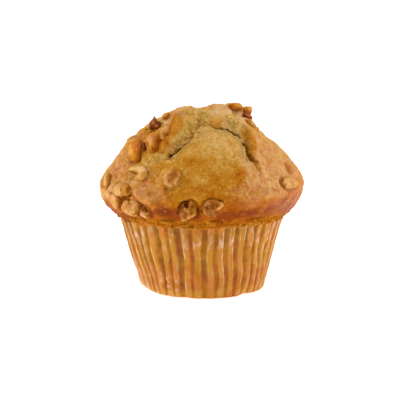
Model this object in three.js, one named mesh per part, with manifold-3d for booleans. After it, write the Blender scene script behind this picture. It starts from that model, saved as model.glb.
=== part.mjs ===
// A walnut muffin in its pleated paper case.
// Millimetres, +Z up, the front is towards -Y. The origin is the middle of the flat base of the
// paper case, which is the face the muffin stands on.
//
//   cake        the baked dough: a domed crown with torn cracks over a pleated plug in the case
//   paper_case  the fluted baking case
//   walnut_NN   chopped walnut pieces baked into the crown, each in its own pocket
import * as THREE from "three";
import { mergeVertices } from "three/addons/utils/BufferGeometryUtils.js";
import Module from "manifold-3d";

// ---------------------------------------------------------------- driving dimensions
const PLEATS = 44; // flutes round the case
const PLEAT_POINTS = 3; // profile points per flute: crest, valley start, valley end
const PLEAT_PHASE = -3.1; // azimuth of one crest, degrees
const PLEAT_DEPTH_BASE = 0.7; // crest to valley at the base
const PLEAT_DEPTH_RIM = 1.6; // crest to valley at the rim
const CASE_BASE_R = 25.3; // flat base
const CASE_CORNER_R = 26.5; // crest radius where the wall starts
const CASE_CORNER_Z = 1.4;
const CASE_FLARE = 0.275; // crest radius gained per mm of height
const CASE_WALL = 0.5;
const CASE_FLOOR = 0.6;
const RIM_Z = 29.0; // rim height at the sides and back
const RIM_LIFT = 1.6; // the rim stands this much higher at the front
const CLEARANCE = 0.3; // between touching pieces

const CROWN_R = 41.8; // largest radius of the crown
const CROWN_EQUATOR_Z = 43.3;
const CROWN_TOP_Z = 74.4;
const CROWN_DOME_POWER = 1.15; // shape of the dome between equator and top
const CROWN_DOME_EXPONENT = 0.51;
const CROWN_LIP_R = 34.6; // where the crown turns out over the rim
const CROWN_LIP_BAND = 3.0; // upright strip of dough above the rim at the front
const CROWN_BULGE_EXPONENT = 0.7;
const CROWN_INNER_R = 29.5; // the underside of the crown starts here, inside the plug
const CROWN_SEGMENTS = 54;
const LIP_ROWS = 3;
const BULGE_ROWS = 4;
const DOME_ROWS = 13;
const CENTRE = new THREE.Vector3(0, 0, 44); // azimuth and elevation are measured from here

const CRACK_DEPTH = 4.5;
const CRACK_WIDTH = 2.0;
const CRACK_STEPS = 18;
const RIDGE_HEIGHT = 1.7; // torn crust stands this proud beside the crack
const VALLEY_DEPTH = 1.3;
const PLATE_HEIGHT = 0.7;

const POCKET_GAP = 0.35; // between a walnut piece and the dough round it
const SMALL_PIECE = 6.5; // pieces under this size have fewer faces
const CHUNK_FILL = 1.16; // makes up for what the flat faces take off a piece

// The main crack in the front of the crown, as azimuth and elevation in degrees, and how far
// outside it the torn crust rises to its ridge, in millimetres.
const FRONT_CRACK = [
  [-22.9, 23.4, 4.0], [-15.0, 32.0, 6.5], [-8.8, 38.9, 8.5], [-6.0, 47.0, 8.5], [-3.0, 52.8, 5.0],
  [10.8, 52.6, 5.0], [19.0, 46.8, 6.5], [30.5, 42.5, 6.0], [35.5, 32.1, 4.5], [34.5, 22.0, 2.6],
  [37.3, 8.4, 1.2],
];
// A finer tear over the back of the crown.
const BACK_CRACK = [
  [148, 24, 3.0], [156, 38, 4.5], [176, 47, 5.5], [198, 49, 5.5], [214, 38, 4.0], [219, 22, 2.0],
];

// Walnut pieces: azimuth, elevation, width, height, thickness, spin (degrees), share of the
// thickness that stands out of the crust, tone (0 pale, 1 orange, 2 dark skin).
const WALNUTS = [
  [-7.4, -8.2, 7.6, 8.8, 6.0, 12, 0.42, 2], // front, over the lip
  [5.4, -6.6, 9.4, 8.0, 6.0, -8, 0.45, 2],
  [59.8, 2.6, 9.4, 6.4, 5.4, 14, 0.5, 0], // right shoulder
  [-41.6, 11.2, 9.8, 6.4, 5.6, -14, 0.55, 0], // left, hooked piece
  [-18.8, 8.8, 8.0, 7.6, 5.0, 28, 0.4, 0],
  [-70.5, 2.4, 6.2, 8.0, 5.2, 4, 0.45, 1], // left edge
  [-80.0, -1.0, 5.0, 5.2, 4.4, 0, 0.45, 0],
  [-49.0, -1.6, 8.6, 5.8, 5.2, -10, 0.55, 0],
  [-58.0, -8.0, 6.0, 7.4, 5.0, 6, 0.5, 1],
  [-44.4, -9.0, 8.4, 7.8, 5.4, 18, 0.55, 0],
  [-33.4, -9.8, 5.4, 7.0, 4.8, -6, 0.45, 2],
  [-57.6, 22.8, 6.8, 10.6, 6.0, 10, 0.5, 1], // upper left
  [-44.4, 33.4, 6.2, 8.0, 5.4, -6, 0.5, 0],
  [-37.4, 42.2, 4.6, 7.6, 4.6, -28, 0.45, 0],
  [-66.5, 48.2, 6.0, 6.8, 5.0, 24, 0.55, 2],
  [-64.0, 61.0, 4.4, 4.2, 4.0, 0, 0.5, 1],
  [86.0, 66.0, 8.0, 5.0, 5.0, 10, 0.78, 1], // top right
  [93.0, 55.5, 5.0, 5.4, 5.2, 30, 0.9, 1],
  [80.0, 52.5, 5.4, 4.0, 3.8, -40, 0.62, 2],
  [69.5, 45.6, 4.6, 6.8, 4.0, -20, 0.5, 2],
  [129.0, 9.0, 8.8, 6.8, 5.6, 20, 0.5, 0], // back
  [131.0, -6.0, 7.6, 7.6, 5.6, -16, 0.5, 1],
  [166.0, 10.0, 9.2, 7.0, 5.8, -24, 0.5, 2],
  [203.0, -5.0, 8.2, 7.4, 5.8, 30, 0.5, 0],
  [224.0, 15.0, 7.0, 8.6, 5.6, -12, 0.5, 1],
  [229.0, 36.0, 6.8, 5.8, 5.0, 18, 0.5, 0],
  [246.0, -5.0, 7.0, 7.2, 5.2, 12, 0.5, 1],
];

// ---------------------------------------------------------------- helpers
const wasm = await Module();
wasm.setup();
const rad = THREE.MathUtils.degToRad;
const clamp = THREE.MathUtils.clamp;
const smooth = (a, b, x) => {
  const t = clamp((x - a) / (b - a), 0, 1);
  return t * t * (3 - 2 * t);
};
const bump = (x) => Math.exp(-x * x);

// A geometry with only positions and shared vertices, its faces turned outwards.
function closed(geometry) {
  const bare = geometry.clone();
  bare.deleteAttribute("normal");
  bare.deleteAttribute("uv");
  const merged = mergeVertices(bare, 1e-4);
  const p = merged.attributes.position;
  const index = merged.index.array;
  let volume = 0;
  const [a, b, c] = [new THREE.Vector3(), new THREE.Vector3(), new THREE.Vector3()];
  for (let i = 0; i < index.length; i += 3) {
    a.fromBufferAttribute(p, index[i]);
    b.fromBufferAttribute(p, index[i + 1]);
    c.fromBufferAttribute(p, index[i + 2]);
    volume += a.dot(b.cross(c));
  }
  if (volume < 0)
    for (let i = 0; i < index.length; i += 3)
      [index[i + 1], index[i + 2]] = [index[i + 2], index[i + 1]];
  return merged;
}

function solid(geometry) {
  const g = closed(geometry);
  return new wasm.Manifold(
    new wasm.Mesh({
      numProp: 3,
      vertProperties: new Float32Array(g.attributes.position.array),
      triVerts: new Uint32Array(g.index.array),
    }),
  );
}

function geometryOf(manifold) {
  const m = manifold.getMesh();
  const g = new THREE.BufferGeometry();
  g.setAttribute("position", new THREE.BufferAttribute(new Float32Array(m.vertProperties), 3));
  g.setIndex(new THREE.BufferAttribute(new Uint32Array(m.triVerts), 1));
  g.computeVertexNormals();
  return g;
}

// A lathe whose point for a turn angle (radians) and a profile row is given by place(angle, row).
function turned(segments, rows, place) {
  const profile = Array.from({ length: rows }, (_, j) => new THREE.Vector2(1, j));
  const g = new THREE.LatheGeometry(profile, segments);
  const p = g.attributes.position;
  for (let s = 0; s <= segments; s++)
    for (let j = 0; j < rows; j++) {
      const [r, z, turn] = place(((s % segments) * 2 * Math.PI) / segments, j, s % segments);
      p.setXYZ(s * rows + j, r * Math.sin(turn), -r * Math.cos(turn), z);
    }
  return g;
}

// ---------------------------------------------------------------- the case's fluted wall
const rimZ = (angle) => RIM_Z + RIM_LIFT * Math.pow(Math.max(0, Math.cos(angle)), 0.8);
const crestR = (z) => CASE_CORNER_R + Math.max(0, z - CASE_CORNER_Z) * CASE_FLARE;

// Radius of the fluted surface at point s of the turn. Crests are narrow and valleys are wide.
function flutedR(s, z, inset) {
  const depth =
    PLEAT_DEPTH_BASE + ((PLEAT_DEPTH_RIM - PLEAT_DEPTH_BASE) * z) / RIM_Z;
  const crest = s % PLEAT_POINTS === 0;
  return crestR(z) - inset - (crest ? 0 : depth);
}
// Turn angle of crest k at height z: each flute leans a little on the way up.
function crestTurn(k, z) {
  const n = ((k % PLEATS) + PLEATS) % PLEATS;
  const lean = 1.1 * Math.sin(n * 2.4 + 0.9) + 0.9 * Math.sin(z * 0.12 + n * 1.7);
  return PLEAT_PHASE + (k * 360) / PLEATS + lean;
}
// Turn angle of point s at height z, the valley's two points spread between their crests.
function flutedTurn(s, z) {
  const k = Math.floor(s / PLEAT_POINTS);
  const f = [0, 0.34, 0.66][s % PLEAT_POINTS];
  return rad(crestTurn(k, z) * (1 - f) + crestTurn(k + 1, z) * f);
}

function fluted(rows) {
  const segments = PLEATS * PLEAT_POINTS;
  return turned(segments, rows.length, (angle, j, s) => {
    const [kind, a, inset] = rows[j];
    if (kind === "axis") return [0, a, 0];
    if (kind === "flat") return [a, inset, flutedTurn(s, 0)];
    const z = kind === "rim" ? rimZ(angle + rad(PLEAT_PHASE)) + a : a;
    return [flutedR(s, z, inset), z, flutedTurn(s, z)];
  });
}

const caseGeometry = fluted([
  ["axis", 0],
  ["flat", CASE_BASE_R, 0],
  ["wall", CASE_CORNER_Z, 0],
  ["rim", 0, 0],
  ["rim", 0, CASE_WALL],
  ["wall", CASE_CORNER_Z + 0.3, CASE_WALL],
  ["flat", CASE_BASE_R - 0.5, CASE_FLOOR],
  ["axis", CASE_FLOOR],
]);

const plugInset = CASE_WALL + CLEARANCE;
const plugGeometry = fluted([
  ["axis", RIM_Z + 12],
  ["rim", 0, plugInset],
  ["wall", CASE_CORNER_Z + 0.3, plugInset],
  ["axis", CASE_FLOOR + CLEARANCE],
]);

// ---------------------------------------------------------------- the crown
// Radius and height of the smooth crown at a turn angle and a row of its profile.
const CROWN_ROWS = 2 + LIP_ROWS + BULGE_ROWS + DOME_ROWS;
function crownProfile(angle, row) {
  const front = Math.pow(Math.max(0, Math.cos(angle)), 0.8);
  const lipZ = rimZ(angle) + CLEARANCE + 0.1;
  const bulgeZ = lipZ + 0.3 + CROWN_LIP_BAND * front;
  if (row === 0) return [0, RIM_Z + 3.4];
  if (row === 1) return [CROWN_INNER_R, lipZ];
  row -= 2;
  if (row < LIP_ROWS) {
    const t = row / (LIP_ROWS - 1);
    return [CROWN_LIP_R - 1.4 * (1 - t) ** 2 + 0.7 * front * t, lipZ + (bulgeZ - lipZ) * t];
  }
  row -= LIP_ROWS;
  if (row < BULGE_ROWS) {
    const t = (row + 1) / BULGE_ROWS;
    const s = t * t * 0.6 + t * 0.4;
    const out = Math.pow(1 - (1 - s) ** 2, CROWN_BULGE_EXPONENT);
    const r0 = CROWN_LIP_R + 0.7 * front;
    return [r0 + (CROWN_R - r0) * out, bulgeZ + (CROWN_EQUATOR_Z - bulgeZ) * s];
  }
  row -= BULGE_ROWS;
  const t = Math.sin(((row + 1) / DOME_ROWS) * Math.PI * 0.5);
  if (row === DOME_ROWS - 1) return [0, CROWN_TOP_Z];
  return [
    CROWN_R * Math.pow(1 - Math.pow(t, CROWN_DOME_POWER), CROWN_DOME_EXPONENT),
    CROWN_EQUATOR_Z + (CROWN_TOP_Z - CROWN_EQUATOR_Z) * t,
  ];
}

const direction = (az, el) =>
  new THREE.Vector3(
    Math.cos(rad(el)) * Math.sin(rad(az)),
    -Math.cos(rad(el)) * Math.cos(rad(az)),
    Math.sin(rad(el)),
  );

// How far a direction lies from a crack's line, in millimetres on the crown, with the side
// (positive outside, away from the plate that the crack runs round) and the local ridge distance.
function fromCrack(crack, d) {
  let best = [Infinity, 0, 0];
  for (let i = 0; i + 1 < crack.length; i++) {
    const a = direction(crack[i][0], crack[i][1]);
    const b = direction(crack[i + 1][0], crack[i + 1][1]);
    const ab = b.clone().sub(a);
    const t = clamp(d.clone().sub(a).dot(ab) / ab.lengthSq(), 0, 1);
    const foot = a.clone().addScaledVector(ab, t);
    const off = d.clone().sub(foot);
    const distance = off.length() * 33;
    if (distance < best[0]) {
      const side = Math.sign(off.dot(new THREE.Vector3().crossVectors(ab, foot))) || 1;
      best = [distance, -side, crack[i][2] * (1 - t) + crack[i + 1][2] * t];
    }
  }
  return best;
}

// Relief of the crust, in millimetres along the radius from CENTRE.
function relief(d) {
  const az = Math.atan2(d.x, -d.y);
  const el = Math.asin(clamp(d.z, -1, 1));
  const calm = smooth(-0.42, -0.2, el);
  let h =
    calm *
    (0.55 * Math.sin(3 * az + 1.3) * Math.cos(el) +
      0.4 * Math.sin(5 * az - 0.6 + 4 * el) * Math.cos(el) +
      0.3 * Math.sin(9 * el + 2 * az * Math.cos(el)) +
      0.35 * Math.sin(11 * d.x + 2) * Math.sin(10 * d.z + 1) +
      0.3 * Math.sin(14 * d.y + 5 * d.x));
  for (const [crack, size] of [[FRONT_CRACK, 1], [BACK_CRACK, 0.7]]) {
    const [distance, side, ridge] = fromCrack(crack, d);
    const high = size * smooth(1.0, 4.5, ridge);
    if (side > 0) {
      const x = distance - ridge;
      h += high * RIDGE_HEIGHT * bump(x / (x < 0 ? 0.45 * ridge + 0.6 : 5.5));
      h -= high * VALLEY_DEPTH * bump(distance / (0.45 * ridge + 0.8));
    } else h += size * PLATE_HEIGHT * bump((distance - 5) / 6);
  }
  return h;
}

function crownPoint(angle, row) {
  const [r, z] = crownProfile(angle, row);
  if (row < 3) return [r, z];
  const p = new THREE.Vector3(r * Math.sin(angle), -r * Math.cos(angle), z);
  const d = p.clone().sub(CENTRE).normalize();
  const away = p.clone().addScaledVector(d, relief(d));
  return [Math.hypot(away.x, away.y), away.z];
}
const crownGeometry = turned(CROWN_SEGMENTS, CROWN_ROWS, (angle, row) => {
  const top = row === CROWN_ROWS - 1;
  const [r, z] = crownPoint(top ? 0 : angle, row);
  return [r < 1e-6 ? 0 : r, z, angle];
});

let cake = solid(crownGeometry).add(solid(plugGeometry));

// Distance from CENTRE to the crust along a direction: walks the profile at that azimuth.
function crustDistance(d) {
  const angle = Math.atan2(d.x, -d.y);
  const flat = Math.hypot(d.x, d.y);
  let last = null;
  for (let row = 2; row < CROWN_ROWS; row++) {
    const [r, z] = crownPoint(angle, row);
    const elevation = Math.atan2(z - CENTRE.z, Math.max(r, 1e-9));
    const reach = Math.hypot(r, z - CENTRE.z);
    const wanted = Math.atan2(d.z, flat);
    if (last && elevation >= wanted) {
      const t = (wanted - last[0]) / (elevation - last[0]);
      return last[1] + (reach - last[1]) * t;
    }
    last = [elevation, reach];
  }
  return last[1];
}
const crustPoint = (az, el) => {
  const d = direction(az, el);
  return d.clone().multiplyScalar(crustDistance(d)).add(CENTRE);
};

// A crack is a straight wedge bent along the crust, its sharp edge inwards and its ends narrowed.
function crackCut(crack, scale) {
  const deep = CRACK_DEPTH * scale;
  const w = CRACK_WIDTH * scale;
  const path = new THREE.CatmullRomCurve3(crack.map(([az, el]) => crustPoint(az, el)));
  const shape = new THREE.Shape([
    new THREE.Vector2(0, -deep),
    new THREE.Vector2(w / 2, 0),
    new THREE.Vector2(w * 0.8, deep),
    new THREE.Vector2(-w * 0.8, deep),
    new THREE.Vector2(-w / 2, 0),
  ]);
  const g = new THREE.ExtrudeGeometry(shape, { steps: CRACK_STEPS, depth: 1, bevelEnabled: false });
  const p = g.attributes.position;
  for (let i = 0; i < p.count; i++) {
    const t = clamp(p.getZ(i), 0, 1);
    const at = path.getPointAt(t);
    const along = path.getTangentAt(t);
    const up = at.clone().sub(CENTRE);
    up.addScaledVector(along, -up.dot(along)).normalize();
    const across = new THREE.Vector3().crossVectors(along, up);
    const end = 0.3 + 0.7 * Math.pow(Math.sin(Math.PI * clamp(t, 0.03, 0.97)), 0.6);
    const y = p.getY(i);
    at.addScaledVector(up, y < 0 ? y * end : y).addScaledVector(across, p.getX(i) * end);
    p.setXYZ(i, at.x, at.y, at.z);
  }
  return solid(g);
}
cake = cake.subtract(crackCut(FRONT_CRACK, 1)).subtract(crackCut(BACK_CRACK, 0.8));

// ---------------------------------------------------------------- walnut pieces
// A chopped piece: a rounded body cut by a few flat faces.
function chunk(width, height, thickness, seed, grow) {
  const small = Math.max(width, height) < SMALL_PIECE;
  const g = closed(small ? new THREE.OctahedronGeometry(1, 1) : new THREE.IcosahedronGeometry(1, 1));
  const p = g.attributes.position;
  const faces = [];
  for (let i = 0; i < 7; i++) {
    const t = (i + 0.5) / 7;
    const turn = i * 2.4 + seed * 1.37;
    const up = 1 - 2 * t;
    const flat = Math.sqrt(1 - up * up);
    faces.push([
      new THREE.Vector3(flat * Math.cos(turn), flat * Math.sin(turn), up),
      0.74 + 0.16 * Math.sin(seed * 3.1 + i * 1.9),
    ]);
  }
  const v = new THREE.Vector3();
  for (let i = 0; i < p.count; i++) {
    v.fromBufferAttribute(p, i).normalize();
    let r = 1 + 0.06 * Math.sin(5 * v.x + seed) * Math.sin(4 * v.y + 2 * seed);
    for (const [n, h] of faces) {
      const c = v.dot(n);
      if (c > 0.2) r = Math.min(r, h / c);
    }
    v.multiplyScalar(r);
    v.set(v.x * width, v.y * height, v.z * thickness).multiplyScalar(0.5 * CHUNK_FILL);
    v.multiplyScalar(1 + grow / v.length());
    p.setXYZ(i, v.x, v.y, v.z);
  }
  return g;
}

function place(geometry, az, el, spin, thickness, proud) {
  // The outward normal of the smooth crown from two nearby points.
  const at = crustPoint(az, el);
  const du = crustPoint(az + 2, el).sub(crustPoint(az - 2, el));
  const dv = crustPoint(az, el + 2).sub(crustPoint(az, el - 2));
  const n = du.clone().cross(dv).normalize();
  const u = du.normalize();
  const v = new THREE.Vector3().crossVectors(n, u);
  const turn = new THREE.Matrix4().makeBasis(u, v, n);
  const centre = at.addScaledVector(n, (proud - 0.5) * thickness);
  return geometry
    .applyMatrix4(new THREE.Matrix4().makeRotationZ(rad(spin)))
    .applyMatrix4(turn)
    .translate(centre.x, centre.y, centre.z);
}

const tones = [
  { color: 0xcf9552, roughness: 0.55 },
  { color: 0xc47a24, roughness: 0.5 },
  { color: 0x96602c, roughness: 0.6 },
];
const group = new THREE.Group();
const nuts = [];
WALNUTS.forEach(([az, el, width, height, thickness, spin, proud, tone], i) => {
  const make = (grow) =>
    solid(place(chunk(width, height, thickness, i + 1, grow), az, el, spin, thickness, proud));
  let nut = make(0);
  const pocket = make(POCKET_GAP);
  for (const other of nuts) if (nut.intersect(other.pocket).volume() > 0) nut = nut.subtract(other.pocket);
  nuts.push({ nut, pocket, tone });
});
for (const { pocket } of nuts) cake = cake.subtract(pocket);
// Crumbs left between two pockets are not part of the cake.
const bodies = cake.decompose().sort((a, b) => b.volume() - a.volume());
cake = bodies[0];

function add(name, geometry, color, roughness) {
  const mesh = new THREE.Mesh(
    geometry,
    new THREE.MeshStandardMaterial({ color, roughness, metalness: 0 }),
  );
  mesh.name = name;
  group.add(mesh);
}
add("cake", geometryOf(cake), 0xc08a40, 0.6);
add("paper_case", closed(caseGeometry), 0xc8863c, 0.5);
nuts.forEach(({ nut, tone }, i) => {
  const main = nut.decompose().sort((a, b) => b.volume() - a.volume())[0];
  add("walnut_" + String(i + 1).padStart(2, "0"), geometryOf(main), tones[tone].color, tones[tone].roughness);
});

export default group;
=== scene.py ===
import math

import bpy
import numpy as np
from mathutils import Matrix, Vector
from mathutils.geometry import delaunay_2d_cdt


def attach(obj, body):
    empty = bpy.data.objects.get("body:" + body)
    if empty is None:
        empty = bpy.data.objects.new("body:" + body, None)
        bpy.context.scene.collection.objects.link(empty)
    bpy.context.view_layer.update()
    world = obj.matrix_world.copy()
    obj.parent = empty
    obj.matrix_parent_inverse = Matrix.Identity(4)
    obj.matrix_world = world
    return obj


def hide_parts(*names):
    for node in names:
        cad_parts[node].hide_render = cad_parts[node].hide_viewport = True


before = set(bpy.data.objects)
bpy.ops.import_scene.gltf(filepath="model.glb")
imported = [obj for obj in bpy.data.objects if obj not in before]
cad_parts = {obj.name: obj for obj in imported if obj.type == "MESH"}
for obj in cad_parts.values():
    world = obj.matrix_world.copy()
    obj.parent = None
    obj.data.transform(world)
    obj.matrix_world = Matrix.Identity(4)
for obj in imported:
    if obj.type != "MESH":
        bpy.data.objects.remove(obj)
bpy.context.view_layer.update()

MM = 0.001

# ------------------------------------------------------------------------------------------------- named sizes
# The case and the crown's smooth shape, as in the CAD model.
PLEATS = 44
PLEAT_PHASE = -3.1
CASE_BASE_R = 25.3
CASE_CORNER_R = 26.5
CASE_CORNER_Z = 1.4
CASE_FLARE = 0.275
RIM_Z = 29.0
RIM_LIFT = 1.6
CROWN_R = 41.8
CROWN_EQUATOR_Z = 43.3
CROWN_TOP_Z = 74.4
CROWN_LIP_R = 34.6
CROWN_LIP_BAND = 3.0
CENTRE_Z = 44.0
CENTRE = np.array([0.0, 0.0, CENTRE_Z])

# The camera: a long lens a little above the crown's middle.
CAM_AT = np.array([-0.7, -560.0, 142.0])
CAM_AIM = np.array([-0.7, 0.0, 35.2])
CAM_PX = 1388.33  # focal length in pixels of a 400-pixel frame

# The light: two tall soft boxes beside the muffin, one overhead, little from the front, and a floor that stays white.
FLOOR_GLOW = 0.75
WORLD = 0.15
LAMPS = [
    ("soft_left", (-0.70, 0.06, 0.30), (0.55, 0.75), 3.25),
    ("soft_right", (0.70, 0.06, 0.30), (0.55, 0.75), 3.15),
    ("overhead", (0.0, -0.10, 0.80), (0.7, 0.6), 3.25),
]


def smooth(a, b, x):
    t = np.clip((x - a) / (b - a), 0.0, 1.0)
    return t * t * (3 - 2 * t)


def bell(x):
    return np.exp(-x * x)


# ------------------------------------------------------------------------------------------------- noise
def _hash(ix, iy, iz, seed):
    n = (ix * 374761393 + iy * 668265263 + iz * 1103515245 + seed * 974634777) & 0xFFFFFFFF
    n = ((n ^ (n >> 13)) * 1274126177) & 0xFFFFFFFF
    n = ((n ^ (n >> 15)) * 2246822519) & 0xFFFFFFFF
    return n ^ (n >> 16)


def noise(p, size, seed=0):
    """Gradient noise, about -1 to 1; size is the distance between lattice points."""
    q = np.asarray(p, float) / size
    i = np.floor(q).astype(np.int64)
    f = q - i
    w = f * f * f * (f * (f * 6 - 15) + 10)
    out = np.zeros(len(q))
    for dx in (0, 1):
        for dy in (0, 1):
            for dz in (0, 1):
                h = _hash(i[:, 0] + dx, i[:, 1] + dy, i[:, 2] + dz, seed)
                a = (h & 0xFFFF) * (2 * math.pi / 65536)
                z = ((h >> 16) & 0xFFFF) / 32767.5 - 1
                s = np.sqrt(np.maximum(0, 1 - z * z))
                g = s * np.cos(a) * (f[:, 0] - dx) + s * np.sin(a) * (f[:, 1] - dy) + z * (f[:, 2] - dz)
                out += (
                    g
                    * (w[:, 0] if dx else 1 - w[:, 0])
                    * (w[:, 1] if dy else 1 - w[:, 1])
                    * (w[:, 2] if dz else 1 - w[:, 2])
                )
    return out * 1.6


def fbm(p, size, octaves=4, seed=0, gain=0.5):
    out, amp, total = 0.0, 1.0, 0.0
    for k in range(octaves):
        out = out + amp * noise(p, size / 2**k, seed + 17 * k)
        total += amp
        amp *= gain
    return out / total


def cells(p, size, seed=0):
    """Distance to the nearest and second nearest feature point, in cells, and the nearest one's random number."""
    q = np.asarray(p, float) / size
    i = np.floor(q).astype(np.int64)
    f = q - i
    d1 = np.full(len(q), 9.0)
    d2 = np.full(len(q), 9.0)
    who = np.zeros(len(q))
    for dx in (-1, 0, 1):
        for dy in (-1, 0, 1):
            for dz in (-1, 0, 1):
                h = _hash(i[:, 0] + dx, i[:, 1] + dy, i[:, 2] + dz, seed)
                ox = (h & 0x3FF) / 1023
                oy = ((h >> 10) & 0x3FF) / 1023
                oz = ((h >> 20) & 0x3FF) / 1023
                d = np.sqrt((dx + ox - f[:, 0]) ** 2 + (dy + oy - f[:, 1]) ** 2 + (dz + oz - f[:, 2]) ** 2)
                near = d < d1
                d2 = np.where(near, d1, np.minimum(d2, d))
                who = np.where(near, (h & 0xFFFF) / 65535, who)
                d1 = np.minimum(d1, d)
    return d1, d2, who


# ------------------------------------------------------------------------------------------------- mesh helpers
def geodesic(n):
    """A sphere of 20 n n triangles: unit points and faces."""
    g = (1 + 5**0.5) / 2
    v = np.array(
        [(-1, g, 0), (1, g, 0), (-1, -g, 0), (1, -g, 0), (0, -1, g), (0, 1, g), (0, -1, -g), (0, 1, -g), (g, 0, -1), (g, 0, 1), (-g, 0, -1), (-g, 0, 1)],
        float,
    )
    v /= np.linalg.norm(v[0])
    faces = [
        (0, 11, 5), (0, 5, 1), (0, 1, 7), (0, 7, 10), (0, 10, 11), (1, 5, 9), (5, 11, 4), (11, 10, 2), (10, 7, 6), (7, 1, 8),
        (3, 9, 4), (3, 4, 2), (3, 2, 6), (3, 6, 8), (3, 8, 9), (4, 9, 5), (2, 4, 11), (6, 2, 10), (8, 6, 7), (9, 8, 1),
    ]
    ii, jj = np.array([(i, j) for i in range(n + 1) for j in range(n + 1 - i)]).T
    at = {(i, j): k for k, (i, j) in enumerate(zip(ii.tolist(), jj.tolist()))}
    tri = []
    for i in range(n):
        for j in range(n - i):
            tri.append((at[i, j], at[i + 1, j], at[i, j + 1]))
            if i + j < n - 1:
                tri.append((at[i + 1, j], at[i + 1, j + 1], at[i, j + 1]))
    tri = np.array(tri)
    a, b = ii / n, jj / n
    c = 1 - a - b
    pts, out = [], []
    for k, (x, y, z) in enumerate(faces):
        # slerp-like spacing, so that the triangles are more even
        p = np.sin(a * 1.1071)[:, None] * v[x] + np.sin(b * 1.1071)[:, None] * v[y] + np.sin(c * 1.1071)[:, None] * v[z]
        pts.append(p / np.linalg.norm(p, axis=1)[:, None])
        out.append(tri + k * len(a))
    pts, out = np.concatenate(pts), np.concatenate(out)
    _, first, back = np.unique(np.round(pts, 6), axis=0, return_index=True, return_inverse=True)
    pts, out = pts[first], back.reshape(-1)[out]
    mid = pts[out].mean(1)
    n0 = np.cross(pts[out[:, 1]] - pts[out[:, 0]], pts[out[:, 2]] - pts[out[:, 0]])
    flip = (n0 * mid).sum(1) < 0
    out[flip] = out[flip][:, ::-1]
    return pts, out


def mesh_object(name, points, faces, attributes=None, shade_smooth=True):
    """points in mm; faces an (n, 3) or (n, 4) array; attributes name -> one number a point."""
    me = bpy.data.meshes.new(name)
    n, k = len(faces), faces.shape[1]
    me.vertices.add(len(points))
    me.vertices.foreach_set("co", (np.asarray(points, np.float32) * MM).ravel())
    me.loops.add(n * k)
    me.loops.foreach_set("vertex_index", np.asarray(faces, np.int32).ravel())
    me.polygons.add(n)
    me.polygons.foreach_set("loop_start", np.arange(0, n * k, k, dtype=np.int32))
    me.polygons.foreach_set("loop_total", np.full(n, k, np.int32))
    me.update(calc_edges=True)
    me.validate()
    me.polygons.foreach_set("use_smooth", np.full(len(me.polygons), shade_smooth))
    for key, values in (attributes or {}).items():
        a = me.attributes.new(key, "FLOAT", "POINT")
        a.data.foreach_set("value", np.asarray(values, np.float32))
    ob = bpy.data.objects.new(name, me)
    bpy.context.scene.collection.objects.link(ob)
    return ob


def grid_faces(rows, cols, wrap=True):
    """Quads of a rows x cols grid of points, closed round the columns."""
    r = np.arange(rows - 1)[:, None]
    c = np.arange(cols if wrap else cols - 1)[None, :]
    d = (c + 1) % cols
    return np.stack([r * cols + c, r * cols + d, (r + 1) * cols + d, (r + 1) * cols + c], -1).reshape(-1, 4)


def normals_of(points, faces):
    n = np.zeros_like(points)
    fn = np.cross(points[faces[:, 1]] - points[faces[:, 0]], points[faces[:, 2]] - points[faces[:, 0]])
    for k in range(faces.shape[1]):
        np.add.at(n, faces[:, k], fn)
    return n / np.maximum(np.linalg.norm(n, axis=1), 1e-12)[:, None]


# ------------------------------------------------------------------------------------------------- camera
cam_data = bpy.data.cameras.new("camera")
cam = bpy.data.objects.new("camera", cam_data)
bpy.context.scene.collection.objects.link(cam)
cam_data.sensor_width = 36.0
cam_data.lens = CAM_PX * 36.0 / 400.0
cam_data.clip_start, cam_data.clip_end = 0.01, 20.0
cam.location = Vector(CAM_AT * MM)
cam.rotation_mode = "QUATERNION"
cam.rotation_quaternion = Vector(CAM_AIM - CAM_AT).to_track_quat("-Z", "Y")
bpy.context.scene.camera = cam

_d = (CAM_AIM - CAM_AT) / np.linalg.norm(CAM_AIM - CAM_AT)
_r = np.cross(_d, [0, 0, 1])
_r /= np.linalg.norm(_r)
_u = np.cross(_r, _d)


def front_view(p):
    """Where points lie as seen from the front, as columns and rows of the 400-unit frame (0.41 mm each)."""
    q = p - CAM_AT
    z = q @ _d
    return np.stack([200 + CAM_PX * (q @ _r) / z, 200 - CAM_PX * (q @ _u) / z], 1)


# ------------------------------------------------------------------------------------------------- smooth crown
def rim_z(az):
    return RIM_Z + RIM_LIFT * np.maximum(0, np.cos(az)) ** 0.8


def case_crest_r(z):
    return CASE_CORNER_R + np.maximum(0, z - CASE_CORNER_Z) * CASE_FLARE


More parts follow.
